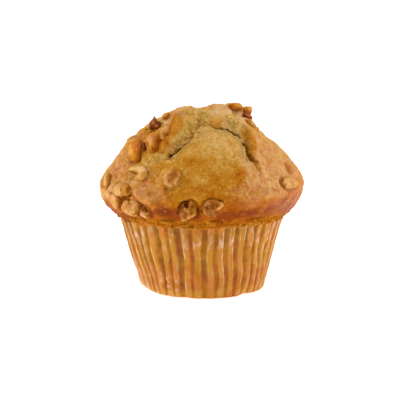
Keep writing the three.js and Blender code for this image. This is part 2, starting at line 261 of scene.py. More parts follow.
def crown_profile(front):
    """(r, z) rows of the whole cake from the middle of its base to the top, for one share of 'front'."""
    lip = RIM_Z + RIM_LIFT * front + 0.25
    low = lip + 0.3 + CROWN_LIP_BAND * front
    r0 = CROWN_LIP_R + 0.6 * front
    rows = [(0.0, 1.4), (CASE_BASE_R - 4.6, 1.5), (CASE_CORNER_R - 4.2, 3.4), (case_crest_r(lip) - 4.2, lip - 2.6), (33.0, lip - 0.5), (34.3, lip)]
    for t in np.linspace(0.2, 1, 5):
        rows.append((CROWN_LIP_R - 0.25 * (1 - t) ** 2 + 0.6 * front * t, lip + (low - lip) * t))
    for s in np.linspace(0, 1, 26)[1:] ** 1.5:
        rows.append((r0 + (CROWN_R - r0) * (1 - (1 - s) ** 2) ** 0.7, low + (CROWN_EQUATOR_Z - low) * s))
    for t in np.sin(np.linspace(0, 1, 60)[1:] * math.pi / 2):
        rows.append((CROWN_R * max(0.0, 1 - t**1.15) ** 0.51, CROWN_EQUATOR_Z + (CROWN_TOP_Z - CROWN_EQUATOR_Z) * t))
    rows = np.array(rows)
    at = np.concatenate([np.arange(0, 6, 1 / 16), np.arange(6, len(rows))])
    return np.stack([np.interp(at, np.arange(len(rows)), rows[:, 0]), np.interp(at, np.arange(len(rows)), rows[:, 1])], 1)


FRONTS = np.linspace(0, 1, 25)
ELEVATIONS = np.linspace(-math.pi / 2, math.pi / 2, 1441)
_table = []
for _f in FRONTS:
    _p = crown_profile(_f)
    _el = np.arctan2(_p[:, 1] - CENTRE_Z, np.maximum(_p[:, 0], 1e-9))
    _table.append(np.interp(ELEVATIONS, np.maximum.accumulate(_el), np.hypot(_p[:, 0], _p[:, 1] - CENTRE_Z)))
_table = np.array(_table)


def crown_distance(az, el):
    front = np.maximum(0, np.cos(az)) ** 0.8
    a = np.clip(front * (len(FRONTS) - 1), 0, len(FRONTS) - 1.001)
    b = np.clip((el + math.pi / 2) / math.pi * (len(ELEVATIONS) - 1), 0, len(ELEVATIONS) - 1.001)
    i, j = a.astype(int), b.astype(int)
    u, v = a - i, b - j
    return (
        _table[i, j] * (1 - u) * (1 - v) + _table[i + 1, j] * u * (1 - v)
        + _table[i, j + 1] * (1 - u) * v + _table[i + 1, j + 1] * u * v
    )


def directions(az, el):
    return np.stack([np.cos(el) * np.sin(az), -np.cos(el) * np.cos(az), np.sin(el)], -1)


# ------------------------------------------------------------------------------------------------- walnut places
# One row a node: azimuth and elevation on the crown (degrees, about the crown's centre), width, height, thickness (mm),
# spin (degrees), share of the thickness standing out; then tone (0 pale, 1 orange, 2 dark skin) and the share of skin.
WALNUTS = {
    1: (-7.4, -8.2, 7.6, 8.8, 6, 12, 0.42, 2, 0.0), 2: (5.4, -6.6, 9.4, 8, 6, -8, 0.45, 2, 0.0),
    3: (59.8, 2.6, 9.4, 6.4, 5.4, 14, 0.5, 0, 0.0), 4: (-41.6, 11.2, 9.8, 6.4, 5.6, -14, 0.55, 0, 0.0),
    5: (-18.8, 8.8, 8, 7.6, 5, 28, 0.4, 0, 0.0), 6: (-70.5, 2.4, 6.2, 8, 5.2, 4, 0.45, 1, 0.0),
    7: (-80, -1, 5, 5.2, 4.4, 0, 0.45, 0, 0.0), 8: (-49, -1.6, 8.6, 5.8, 5.2, -10, 0.55, 0, 0.0),
    9: (-58, -8, 6, 7.4, 5, 6, 0.5, 1, 0.0), 10: (-44.4, -9, 8.4, 7.8, 5.4, 18, 0.55, 0, 0.0),
    11: (-33.4, -9.8, 5.4, 7, 4.8, -6, 0.45, 2, 0.15), 12: (-57.6, 22.8, 6.8, 10.6, 6, 10, 0.5, 1, 0.05),
    13: (-44.4, 33.4, 6.2, 8, 5.4, -6, 0.5, 0, 0.12), 14: (-37.4, 42.2, 4.6, 7.6, 4.6, -28, 0.45, 0, 0.0),
    15: (-66.5, 48.2, 6, 6.8, 5, 24, 0.55, 2, 0.85), 16: (-64, 61, 4.4, 4.2, 4, 0, 0.5, 1, 0.0),
    17: (86, 66, 8, 5, 5, 10, 0.78, 1, 0.1), 18: (93, 55.5, 5, 5.4, 5.2, 30, 0.9, 1, 0.12),
    19: (80, 52.5, 5.4, 4, 3.8, -40, 0.62, 2, 0.75), 20: (69.5, 45.6, 4.6, 6.8, 4, -20, 0.5, 2, 0.15),
    21: (129, 9, 8.8, 6.8, 5.6, 20, 0.5, 0, 0.1), 22: (131, -6, 7.6, 7.6, 5.6, -16, 0.5, 1, 0.1),
    23: (166, 10, 9.2, 7, 5.8, -24, 0.5, 2, 0.35), 24: (203, -5, 8.2, 7.4, 5.8, 30, 0.5, 0, 0.1),
    25: (224, 15, 7, 8.6, 5.6, -12, 0.5, 1, 0.1), 26: (229, 36, 6.8, 5.8, 5, 18, 0.5, 0, 0.0),
    27: (246, -5, 7, 7.2, 5.2, 12, 0.5, 1, 0.2),
}
# The pieces seen from the front, as facets: an outline and then points on the top, each a column and row of the front
# view, its height over the crust (mm) and, where it matters, how much darker it is than the rest: partly the piece's
# own tone, partly painted shade on facets turned from the lamps.
SHAPES = {
    1: ([(190.0, 200.3, 1.2), (192.0, 201.0, 1.2), (193.8, 203.0, 1.2), (195.4, 205.6, 1.1), (196.3, 208.4, 1.0), (196.6, 211.2, 1.0), (196.2, 214.0, 0.9), (194.6, 216.2, 0.9), (191.6, 217.9, 0.9), (188.4, 219.4, 0.9), (185.6, 220.9, 0.8), (183.2, 221.9, 0.8), (181.4, 220.6, 0.9), (180.5, 218.0, 0.9, 0.25), (180.1, 214.5, 0.9, 0.3), (180.3, 210.5, 0.9, 0.4), (180.9, 207.0, 0.9, 0.5), (182.2, 204.7, 1.1), (184.0, 203.2, 1.0), (185.4, 202.3, 0.7, 0.9), (188.0, 201.4, 0.7, 1.1)],
        [(183.7, 204.2, 1.5, 0.55), (184.7, 206.8, 2.0, 0.5), (185.9, 209.5, 2.2, -0.35), (187.2, 211.0, 2.4, -0.2), (188.2, 208.7, 2.3, 0.2), (188.7, 205.2, 2.1, 0.2), (189.3, 202.2, 1.9, 0.15),
         (184.9, 203.4, 0.7, 0.8), (187.6, 203.2, 0.5, 1.1), (185.8, 206.2, 0.7, 0.75), (187.5, 206.4, 0.7, 1.1), (187.1, 209.3, 1.1, 1.0), (186.8, 204.6, 0.5, 1.0),
         (182.0, 207.5, 1.7, 0.62), (182.2, 211.5, 1.8, 0.48), (182.2, 215.5, 1.7, 0.34), (183.6, 219.2, 1.5, 0.28), (185.0, 213.0, 2.3, 0.5), (185.0, 217.0, 1.9, 0.45), (191.0, 204.0, 2.1, 0.2), (191.6, 207.6, 2.0, 0.3), (190.4, 211.0, 2.3, 0.35), (193.2, 205.6, 1.8, 0.35), (194.6, 209.0, 1.9, 0.3), (194.6, 212.8, 1.9, 0.15), (188.0, 214.5, 2.4, 0.2), (191.4, 214.6, 2.0, 0.45), (192.6, 216.2, 1.6, 0.05), (188.4, 217.6, 1.8, 0.0)]),
    2: ([(203.0, 206.6, 0.8, 0.2), (203.8, 204.0, 0.9, 0.2), (205.8, 201.8, 0.9), (208, 200.5, 0.9), (211, 199.9, 0.9), (214, 200.1, 1.0), (217, 200.9, 1.0), (220, 202.2, 1.1), (222.6, 202.7, 1.2), (224.2, 204.0, 1.2), (223.8, 206.0, 1.1), (222.2, 208.0, 1.0), (219.6, 209.8, 0.8), (217.8, 211.8, 0.7, 0.3), (217.6, 214.2, 0.6, 0.36), (216.2, 216.4, 0.5, 0.36), (213, 217.4, 0.5, 0.36), (209, 217.2, 0.5, 0.36), (206.4, 216.0, 0.6, 0.3), (204.2, 214.6, 0.7, 0.1), (203.0, 212.2, 0.8), (202.7, 209, 0.8)],
        [(204.8, 205.2, 1.7, -0.05), (204.2, 209.2, 1.6, 0.1), (204.8, 213.6, 1.4, 0.0), (206.2, 208.6, 1.4, 0.32), (206.4, 212.6, 1.2, 0.35), (208.2, 204.4, 1.8, 0.05), (208.4, 202.0, 1.5, 0.3), (211.2, 202.4, 1.6, 0.36), (214.8, 202.0, 1.6, 0.15), (218.2, 203.4, 1.5, 0.25), (213.2, 204.6, 1.3, 0.45), (216.2, 205.4, 1.2, 0.6), (219.0, 205.0, 1.4, 0.35), (206.8, 207.4, 1.4, 0.5), (211.6, 207.3, 1.3, 0.5), (215.8, 207.6, 1.5, 0.25), (222.4, 204.6, 2.1, -0.15), (220.6, 206.8, 2.2, -0.1), (217.8, 208.4, 1.9, 0.0), (214.5, 210.0, 1.5, 0.3), (209.2, 209.0, 1.4, 0.4), (208.6, 213.0, 1.2, 0.38), (212.4, 213.2, 1.25, 0.36), (215.8, 212.6, 1.1, 0.42), (210.6, 215.8, 1.0, 0.36)]),
    3: ([(281.4, 184.6, 0.8), (281.8, 181.2, 1.0), (283.4, 178.2, 1.1), (286.6, 176.2, 1.0), (290.8, 176.4, 0.9), (294.8, 178.8, 0.8), (297.8, 181.8, 0.6), (298.2, 185.2, 0.5), (296.4, 187, 0.6), (293.5, 188.5, 0.7), (290, 189.5, 0.8), (286.8, 189.6, 0.8), (284.6, 188, 0.8), (282.6, 186.5, 0.7)],
        [(283.6, 182.0, 1.9, -0.1), (285.6, 179.2, 2.2, -0.2), (290, 179.4, 2.4, -0.1), (287.2, 186.6, 2.3, -0.45), (289.0, 183.4, 2.6, -0.3), (284.8, 186, 1.5, 0.15), (293.2, 181.4, 2.3, -0.15), (294.8, 184.6, 2.0, -0.05), (292, 186.8, 2.0, 0.0), (296.4, 182.8, 1.5, -0.35)]),
    4: ([(127.2, 169, 0.5), (130, 167.2, 0.7), (134, 166.6, 0.9), (138, 165.4, 1.0), (142, 165.4, 1.0), (145.2, 166.7, 1.0), (147.6, 169.6, 0.9), (148.7, 173, 0.9), (147.9, 176.4, 0.8), (145.6, 179.4, 0.7), (142.2, 181.2, 0.7), (138.6, 181.4, 0.7), (136.4, 178.8, 0.7), (136.5, 175.2, 0.8), (138.0, 173.2, 0.9), (135, 171.9, 0.8), (131, 171.2, 0.7), (128.3, 170.8, 0.5)],
        [(130.3, 169, 1.5, -0.3), (134, 168.9, 1.9, -0.2), (138, 168.2, 2.4, -0.1), (142.3, 168.5, 2.6, -0.1), (145.6, 171.3, 2.4, 0.05), (143.6, 175, 2.0, 0.3), (139.8, 171.5, 2.6, -0.1), (138.8, 176.8, 2.0, -0.3), (141.4, 178.4, 1.7, 0.1)]),
    5: ([(163.0, 181, 0.3), (162.8, 177, 0.3), (164.0, 173.5, 0.3), (166.6, 170.6, 0.4), (170.4, 169.0, 0.4), (173.4, 169.4, 0.1, 0.4), (175.6, 171.4, 0.0, 0.7), (178.4, 170.4, 0.3, 0.2), (181.0, 173, 0.4), (180.8, 177.5, 0.4, 0.3), (178.4, 182.2, 0.5), (175.2, 186.0, 0.5), (171, 187.8, 0.5), (167, 187.0, 0.5), (164.2, 184.8, 0.4)],
        [(165.6, 174.6, 2.0, -0.2), (164.8, 180, 1.9, -0.2), (166.4, 184.3, 2.0, -0.25), (170.2, 185.6, 2.0, -0.2), (169.6, 172.4, 1.9, -0.15), (169.6, 176.4, 1.1, 0.1), (169.4, 181, 0.9, 0.12), (173.2, 173.0, 0.8, 0.5), (175.2, 174.2, 0.7, 0.6), (178.8, 174.2, 1.6, 0.1), (177.4, 179.4, 2.0, -0.2), (174.6, 183.4, 2.1, -0.3), (173.4, 178.6, 1.0, 0.2), (176.4, 176.4, 1.2, 0.35), (172.0, 182.6, 1.2, 0.0)]),
    6: ([(103.1, 176, 0.9), (104.5, 173.6, 0.8), (107, 172.6, 0.7), (109.8, 173.6, 0.2), (110.6, 178, 0.0), (110, 182.5, 0.0), (108.2, 186.8, 0.1), (105, 187.6, 0.7), (103.2, 185.6, 0.9), (102.8, 181, 1.0)],
        [(104.8, 176, 1.8, -0.3), (104.6, 182, 1.9, -0.3), (107.4, 177, 1.3, 0.15), (107.2, 183, 1.3, 0.1)]),
    7: ([(99.8, 183.5, 0.7), (101, 181, 0.7), (103, 180.2, 0.6), (104.6, 182, 0.5), (104.4, 186, 0.5), (102.5, 188, 0.6), (100.2, 187.3, 0.7)],
        [(102, 183, 1.5, 0.1), (102.2, 185.8, 1.3, 0.2)]),
    8: ([(112.8, 188.6, 0.5, 0.1), (113.6, 186.0, 0.2), (116.4, 183.6, 0.0), (120.4, 182.6, 0.0), (125, 183.0, 0.0), (129.4, 184.6, 0.0, 0.2), (132.2, 187.8, 0.0, 0.5), (132.6, 191.6, 0.0, 0.5), (130.4, 194.6, 0.5, 0.5), (127.2, 195.8, 1.0, 0.4), (123.6, 195.2, 1.4, 0.1), (119.8, 196.0, 1.6), (116.6, 196.2, 1.5), (114.2, 194.4, 1.2), (113.0, 191.6, 0.9)],
        [(115.2, 188.4, 1.5, -0.25), (119.2, 188.2, 1.6, -0.2), (115.4, 193.2, 2.1, -0.25), (119.2, 193.8, 2.2, -0.2), (120.4, 188.0, 1.3, 0.2), (120.6, 193.4, 1.8, 0.15), (124.2, 187.0, 1.3, 0.05), (124.6, 191.0, 1.6, 0.15), (124.2, 194.0, 1.7, 0.1), (127.0, 188.4, 1.1, 0.35), (127.6, 192.4, 1.1, 0.5), (130.2, 190.4, 0.6, 0.65), (121.4, 185.0, 0.8, -0.05), (117.0, 185.8, 0.9, -0.05), (128.4, 186.0, 0.6, 0.25)]),
    9: ([(110.2, 196.6, 0.2), (111.8, 193.8, 0.6), (114.4, 193.8, 0.9), (116.0, 195.6, 1.0), (118.4, 197.0, 0.9, 0.3), (120.2, 199.4, 0.5, 0.5), (119.4, 203.2, 0.4, 0.5), (118.2, 206.4, 0.3, 0.3), (117.4, 209.0, 0.1), (114.8, 209.2, 0.0), (112.4, 206.4, 0.0), (111.0, 202.6, 0.0), (110.2, 199.4, 0.1)],
        [(112.8, 196.4, 1.6, -0.35), (115.4, 197.2, 1.8, -0.1), (113.8, 200.6, 1.7, -0.2), (116.4, 201.2, 1.5, 0.1), (118.2, 200.6, 0.9, 0.45), (115.2, 205.0, 1.2, -0.1), (117.2, 204.8, 0.8, 0.3), (112.6, 203.0, 0.8, 0.05)]),
    10: ([(120.8, 208.2, 0.6, 0.2), (121.6, 204.8, 1.0, 0.1), (123.8, 201.6, 1.0), (126.8, 200.0, 0.8), (129.2, 200.6, 0.5, 0.3), (131.4, 198.8, 0.4), (135.2, 198.8, 0.2), (138.6, 200.4, 0.1, 0.2), (141.6, 202.6, 0.0, 0.5), (143.8, 206.0, 0.0, 0.6), (142.4, 209.6, 0.1, 0.5), (139.4, 211.4, 0.3, 0.3), (138.2, 214.0, 0.5, 0.1), (136.2, 216.4, 0.6, 0.1), (132.4, 216.2, 0.7), (128.6, 215.0, 0.6, 0.1), (125.0, 213.2, 0.5, 0.1), (122.0, 211.2, 0.5, 0.2)],
        [(124.4, 205.4, 1.8, 0.0), (127.2, 203.0, 1.7, 0.0), (129.0, 203.6, 1.2, 0.4), (129.2, 206.4, 1.6, 0.15), (131.6, 202.0, 1.6, -0.15), (135.2, 202.4, 1.5, -0.15), (126.0, 209.8, 1.8, 0.05), (130.6, 209.2, 2.0, -0.1), (133.8, 206.4, 1.9, -0.2), (137.4, 204.0, 1.2, 0.1), (138.8, 207.4, 1.0, 0.5), (141.4, 206.0, 0.6, 0.7), (136.6, 209.6, 1.3, 0.2), (129.0, 213.0, 1.4, 0.1), (133.6, 212.6, 1.4, -0.1), (135.8, 213.4, 0.9, 0.6), (136.2, 215.0, 1.0, 0.1)]),
    11: ([(139.4, 213.4, 0.3), (140.4, 210.4, 0.2, 0.3), (142.8, 207.6, 0.0, 0.5), (144.6, 204.4, -0.2, 0.6), (147.4, 204.6, -0.3, 0.7), (149.2, 207.6, -0.3, 0.8), (149.6, 211.4, 0.0, 0.2), (150.2, 215.4, 0.1, 0.2), (149.6, 219.4, 0.0, 0.3), (146.6, 218.8, 0.2), (143.2, 217.4, 0.3), (140.4, 215.8, 0.3)],
        [(142.0, 211.8, 1.0, 0.0), (144.8, 208.4, 0.4, 0.5), (147.2, 208.0, 0.0, 0.9), (144.4, 211.4, 0.7, 0.3), (147.4, 211.2, 0.4, 0.5), (142.6, 214.6, 1.2, -0.35), (145.2, 214.6, 1.0, -0.1), (148.4, 212.6, 0.9, -0.1), (145.4, 217.0, 1.1, -0.25), (148.2, 215.4, 0.6, 0.35)]),
    12: ([(127.4, 155, 0.4), (127.4, 150.6, 0.7), (127.9, 146, 0.8), (129.2, 142.8, 0.8), (131.4, 141.6, 0.9), (134.4, 141.2, 0.7), (137.0, 139.4, 0.2, 0.2), (140.2, 139.8, 0.0, 0.3), (141.8, 142.6, 0.2, 0.3), (142.2, 147.6, 0.3, 0.5), (141.6, 151.5, 0.2, 0.5), (141.4, 156, 0.0, 0.5), (140.6, 160.8, 0.0, 0.4), (137.4, 163.4, 0.2, 0.2), (133.8, 163.0, 0.4, 0.0), (130.6, 160.8, 0.4, 0.1), (128.4, 158.0, 0.4)],
        [(129.5, 151.5, 1.9, -0.5), (129.9, 146, 2.1, -0.4), (129.9, 155.8, 1.5, -0.25), (132.2, 143.6, 2.4, -0.2), (133.2, 148, 2.7, -0.15), (133.4, 154, 2.4, -0.15), (135.8, 143.4, 2.3, 0.05), (139.2, 144.2, 1.6, 0.1), (137.0, 149.0, 2.3, 0.05), (139.8, 149.5, 1.2, 0.35), (137.2, 154.6, 1.9, 0.1), (134.8, 159.0, 1.6, 0.0), (138.6, 158.4, 1.1, 0.2), (131.6, 158.2, 1.3, -0.05), (139.8, 154.4, 0.9, 0.5)]),
    13: ([(146.0, 139.4, 0.8), (147.2, 136.2, 1.0), (149.6, 133.8, 1.0), (153, 133.0, 0.9), (156.6, 133.4, 0.8), (159.2, 135.6, 0.7), (160.2, 139.4, 0.6), (159.8, 143, 0.5), (158.4, 147.0, 0.5), (157.6, 150.6, 0.5), (154.4, 152.0, 0.6), (151.0, 151.2, 0.7), (149.2, 148.4, 0.8), (148.6, 144.6, 0.9), (147.4, 141.8, 0.8)],
        [(149.0, 137.2, 2.3, -0.1), (152.0, 135.6, 2.3, 0.0), (155.8, 135.4, 2.0, 0.1), (151.8, 138.6, 2.8, 0.05), (150.2, 141.6, 2.4, -0.15), (150.4, 146.0, 2.2, -0.1), (153.6, 141.8, 2.7, 0.1), (153.8, 146.5, 2.3, 0.2), (156.4, 139.6, 2.0, 0.3), (158.6, 138.2, 1.3, 0.5), (158.2, 142.0, 1.1, 0.55), (156.8, 145.6, 1.3, 0.5), (152.6, 149.8, 1.3, 0.3), (156.2, 149.4, 0.9, 0.5)]),
    14: ([(159.4, 134.6, 0.5), (160.0, 130.7, 0.3), (162.5, 126.9, 0.0), (166.6, 124.8, -0.1), (169.9, 126.6, 0.0), (169.6, 131, 0.2), (168.0, 134.4, 0.4), (166.8, 138.2, 0.5), (164.6, 140.4, 0.6), (161.4, 139.7, 0.7), (159.8, 137.5, 0.7)],
        [(163, 130, 1.5, -0.1), (166.2, 129, 1.4, 0.0), (163.4, 134.5, 1.7, 0.15), (162, 137, 1.4, -0.1), (166.2, 133.5, 1.0, 0.3)]),
    15: ([(148.6, 126.6, 0.9), (149.6, 123.2, 1.3), (150.8, 120.6, 1.6), (152.2, 118.6, 1.9), (153.8, 114.6, 2.0), (155.2, 118.0, 1.8), (156.6, 120.4, 1.3), (159.4, 121.6, 1.2), (160.6, 124.4, 1.0), (160.9, 127.6, 0.8), (159.4, 130.2, 0.6), (156, 130.4, 0.6), (153.4, 128.2, 0.7), (150.8, 127.6, 0.8)],
        [(152.2, 121.2, 2.6, -0.1), (151.2, 124.6, 2.3, 0.1), (153.8, 119.2, 2.6, -0.1), (155.0, 122.6, 2.7, 0.1), (154.0, 126.0, 1.9, 0.1), (156.2, 121.8, 2.3, 0.4), (159.0, 123.4, 2.0, 0.5), (156.8, 125.0, 2.4, -0.3), (159.0, 126.6, 1.6, 0.1), (157.2, 128.6, 1.2, 0.2)]),
    16: ([(162, 117.5, 0.5), (163.2, 114.5, 0.9), (165, 112.5, 1.2), (168, 112.6, 1.2), (170.1, 113.4, 0.8), (168.8, 116.5, 0.4), (166.3, 118.6, 0.3), (163.4, 119.3, 0.3)],
        [(165.5, 114.8, 2.0, 0.1), (166.6, 116.6, 1.5, 0.0)]),
    17: ([(224.5, 107.6, 0.0), (227.6, 105.0, 0.6), (230.6, 102.8, 1.4), (235.5, 102.4, 1.7), (240.0, 102.9, 1.5), (242.6, 105.4, 0.9), (242.4, 109.0, 0.3), (237.6, 110.4, -0.3), (232, 110.6, -0.4), (227.6, 109.4, -0.3)],
        [(229.4, 107.0, 1.0, 0.45), (232.4, 105.0, 2.2, 0.1), (236.6, 105.2, 2.5, -0.35), (239.8, 106.4, 2.0, -0.1), (235.6, 108.4, 0.9, -0.35)]),
    18: ([(242.0, 107.4, 0.4), (244.4, 106.4, 0.7), (247.8, 106.2, 1.2), (250.4, 105.8, 1.4), (252.2, 107, 1.4), (252.4, 110, 1.2), (251.4, 113.6, 0.8), (248.5, 114.0, 0.3), (244.7, 112.6, 0.1), (242.7, 110.5, 0.2)],
        [(246, 109.2, 1.6, 0.0), (249.4, 108.4, 2.4, -0.35), (251.2, 110.4, 1.9, 0.35), (248.0, 111.6, 1.5, -0.1)]),
    19: ([(242.6, 113, 0.8), (244.2, 112.2, 0.9), (247.2, 113, 0.9), (250.6, 114.8, 0.9), (252.9, 117.5, 0.8), (252, 119, 0.6), (248.5, 118.6, 0.4), (245.3, 116.6, 0.5)],
        [(245.4, 114.2, 1.6, 0.2), (248.6, 115.8, 1.7, -0.8), (251, 117.6, 1.2, -0.5)]),
    20: ([(246.0, 119.6, 0.2), (248.5, 118.4, 0.6), (251.6, 119.4, 0.9), (253.6, 122.5, 1.0), (255.2, 126.4, 0.7), (253.4, 128.2, 0.0), (250.0, 125.6, -0.2), (247.2, 122.8, -0.2)],
        [(249.0, 120.4, 0.9, 0.3), (251.6, 122.4, 1.6, -0.5), (253.2, 125.4, 1.2, -0.4), (250.2, 123.4, 0.8, -0.3)]),
    # chips too small to be pieces of their own
    101: ([(142.0, 142.8, 0.3), (143.8, 142.0, 0.4), (145.4, 143.4, 0.4), (145.8, 146.6, 0.3), (145.2, 150.2, 0.3), (143.8, 151.4, 0.3), (142.2, 150.4, 0.3), (142.8, 146.8, 0.3)], [(143.8, 144.2, 0.9, 0.3), (144.3, 147.6, 0.8, 0.8), (143.8, 149.8, 0.6, 0.8)]),
    102: ([(146.0, 133.8, 0.3), (147.4, 130.4, 0.4), (150.2, 129.6, 0.4), (150.6, 131.6, 0.3), (148.6, 133.6, 0.3), (146.9, 136.4, 0.3)], [(148.6, 131.3, 1.0), (147, 134, 0.8)]),
    103: ([(107.8, 193, 0.2), (109, 191.8, 0.3), (110.6, 192.6, 0.3), (110.4, 194.6, 0.2), (108.6, 195, 0.2)], [(109.3, 193.3, 0.6)]),
    104: ([(130.6, 198.6, 0.3), (131.2, 196.2, 0.5), (132.4, 195.6, 0.6), (133.2, 197.4, 0.4), (132.4, 199, 0.3)], [(132, 197.4, 1.1)]),
    105: ([(256.2, 128.2, 0.2), (257.2, 126.4, 0.4), (258.8, 127.6, 0.4), (259.3, 130.4, 0.3), (257.8, 131.4, 0.2)], [(257.9, 128.8, 0.9)]),
    106: ([(142.6, 185.3, 0.1), (143.4, 184.4, 0.2), (144.8, 184.6, 0.2), (144.9, 185.8, 0.1), (143.6, 186.4, 0.1)], [(143.8, 185.3, 0.55)]),
}
# How much of a film of dough covers the edges of each piece.
for k, light in {6: 0.14, 8: 0.08, 9: 0.14, 10: 0.10, 7: 0.1, 16: 0.45, 15: 0.1}.items():  # the palest pieces
    SHAPES[k] = (SHAPES[k][0], [(x, y, high, tone - light) for x, y, high, tone in SHAPES[k][1]])
NUT_FILM = {1: 0.0, 2: 0.1, 4: 0.5, 5: 0.9, 8: 0.8, 9: 0.8, 10: 0.8, 11: 0.4, 12: 0.2, 13: 0.2, 15: 0.0, 16: 0.9, 17: 0.7, 18: 0.3, 19: 0.0, 20: 0.7, 101: 0.0, 102: 0.3}
# Tints on those pieces, in the front view: column, row, half width, half height, turn; then how pink, how golden, how
# much darker (partly the piece's own tone, partly painted shade and painted light on its facets).
NUT_TINTS = [
    (182.6, 212.0, 2.4, 6.0, 4, 0.8, 0.0, 0.0), (189.5, 217.4, 4.5, 1.6, -25, 0.7, 0.0, 0.0), (192.5, 208.5, 3.5, 5.5, 0, 0.0, 0.7, 0.0), (190.8, 202.8, 1.6, 1.8, 0, 0.6, 0.0, 0.0),
    (207.8, 204.0, 3.4, 2.6, 0, 0.8, 0.0, 0.0), (215.5, 205.0, 3.6, 1.8, 15, 0.0, 0.6, 0.0), (222.6, 204.4, 1.8, 1.6, 0, 0.9, 0.0, 0.0), (210.6, 212.6, 5.5, 4.5, 0, 0.7, 0.0, 0.0),
    (119.0, 185.6, 6.0, 2.0, 0, 0.9, 0.0, 0.0), (129.6, 190.0, 3.4, 5.0, 0, 0.0, 1.0, 0.1), (117.0, 191.6, 3.6, 3.8, 0, 0.3, 0.0, -0.1),
    (112.4, 196.5, 2.2, 4.0, 0, 0.9, 0.0, -0.1), (114.6, 206.0, 2.6, 2.6, 0, 0.4, 0.0, 0.0), (118.4, 200.0, 2.0, 4.0, 0, 0.0, 1.0, 0.0),
    (127.6, 206.5, 4.0, 5.5, 0, 0.9, 0.0, 0.05), (133.6, 203.4, 3.5, 3.4, 0, 0.4, 0.0, -0.1), (140.6, 205.6, 2.8, 5.0, -20, 0.0, 1.0, 0.1), (134.6, 214.4, 3.0, 1.8, 0, 0.0, 0.6, 0.0), (128.0, 213.0, 4.0, 1.8, 0, 0.6, 0.0, -0.1),
    (145.6, 206.4, 3.0, 2.6, -30, 0.0, 1.0, 0.2), (142.4, 213.8, 3.4, 2.6, 0, 1.0, 0.0, -0.1), (148.8, 215.6, 1.4, 4.0, 0, 0.0, 1.0, 0.0),
    (139.2, 144.5, 2.8, 4.4, 0, 0.9, 0.0, 0.1), (136.4, 158.0, 4.5, 5.0, 0, 0.0, 0.8, 0.0), (129.4, 150.0, 1.8, 6.0, 0, 0.2, 0.2, 0.0),
    (150.5, 137.5, 4.5, 4.0, 0, 0.9, 0.0, 0.0), (149.8, 143.0, 2.0, 4.5, 0, 0.9, 0.0, 0.0), (154.0, 147.0, 3.0, 5.0, 0, 0.0, 0.9, 0.0), (158.5, 140.0, 2.0, 5.0, 0, 0.2, 0.0, 0.2),
    (166.8, 127.5, 2.4, 4.0, 15, 0.7, 0.0, -0.15), (163.6, 134.5, 2.0, 3.0, 0, 0.0, 0.6, 0.1), (161.0, 136.5, 1.6, 2.6, 0, 0.6, 0.0, -0.1),
    (102.0, 184.0, 2.0, 3.0, 0, 0.8, 0.0, 0.0), (104.6, 178.0, 2.0, 4.0, 0, 0.6, 0.0, -0.1), (108.4, 179.0, 1.8, 6.0, 0, 0.0, 1.0, 0.0),
    (140.0, 168.6, 9.0, 3.4, 0, 0.4, 0.0, -0.3), (144.0, 175.5, 3.5, 2.6, -30, 0.2, 0.5, -0.1), (133.0, 171.2, 4.0, 1.0, 0, 0.0, 0.6, 0.25),
    (168.0, 178.0, 6.0, 7.0, 0, 0.9, 0.0, 0.12), (176.0, 177.0, 3.0, 6.0, 20, 0.6, 0.0, 0.1), (289.0, 184.0, 7.0, 5.0, 0, 0.6, 0.0, 0.0),
    (232.0, 105.0, 5.0, 2.0, 0, 0.0, 0.4, 0.0), (250.5, 109.0, 1.6, 3.0, 0, 0.5, 0.0, -0.2),
]
CHIPS = {101: 2, 102: 1, 103: 1, 104: 0, 105: 1, 106: 0}  # tone


def crust_point(az, el):
    a, e = np.array([math.radians(az)]), np.array([math.radians(el)])
    return CENTRE + directions(a, e)[0] * crown_distance(a, e)[0]


def to_plane(x, y, at, n):
    """The point of a plane that the front view shows at column x, row y."""
    ray = _d + _r * (x - 200) / CAM_PX - _u * (y - 200) / CAM_PX
    return CAM_AT + ray * ((at - CAM_AT) @ n) / (ray @ n)


LIFT = {}  # how far the sculpted crust stands out of the smooth one under each piece (mm)
RAISE = {3: 0.5, 5: 0.2, 6: 0.7, 7: 0.8, 8: 0.3, 9: 0.7, 12: 0.5, 13: 0.2, 15: 0.7, 16: 0.5, 19: 0.3}  # and how far the piece stands out of that


def on_crown(x, y):
    """Azimuth and elevation (degrees) of the crown's point that the front view shows at column x, row y."""
    ray = _d + _r * (x - 200) / CAM_PX - _u * (y - 200) / CAM_PX
    ray = ray / np.linalg.norm(ray)
    t = np.linspace(480, 620, 1401)
    p = CAM_AT + t[:, None] * ray - CENTRE
    az, el = np.arctan2(p[:, 0], -p[:, 1]), np.arctan2(p[:, 2], np.hypot(p[:, 0], p[:, 1]))
    over = np.linalg.norm(p, axis=1) - crown_distance(az, el)
    i = int(np.argmax(over < 0)) if (over < 0).any() else int(np.argmin(over))
    return math.degrees(az[i]), math.degrees(el[i])


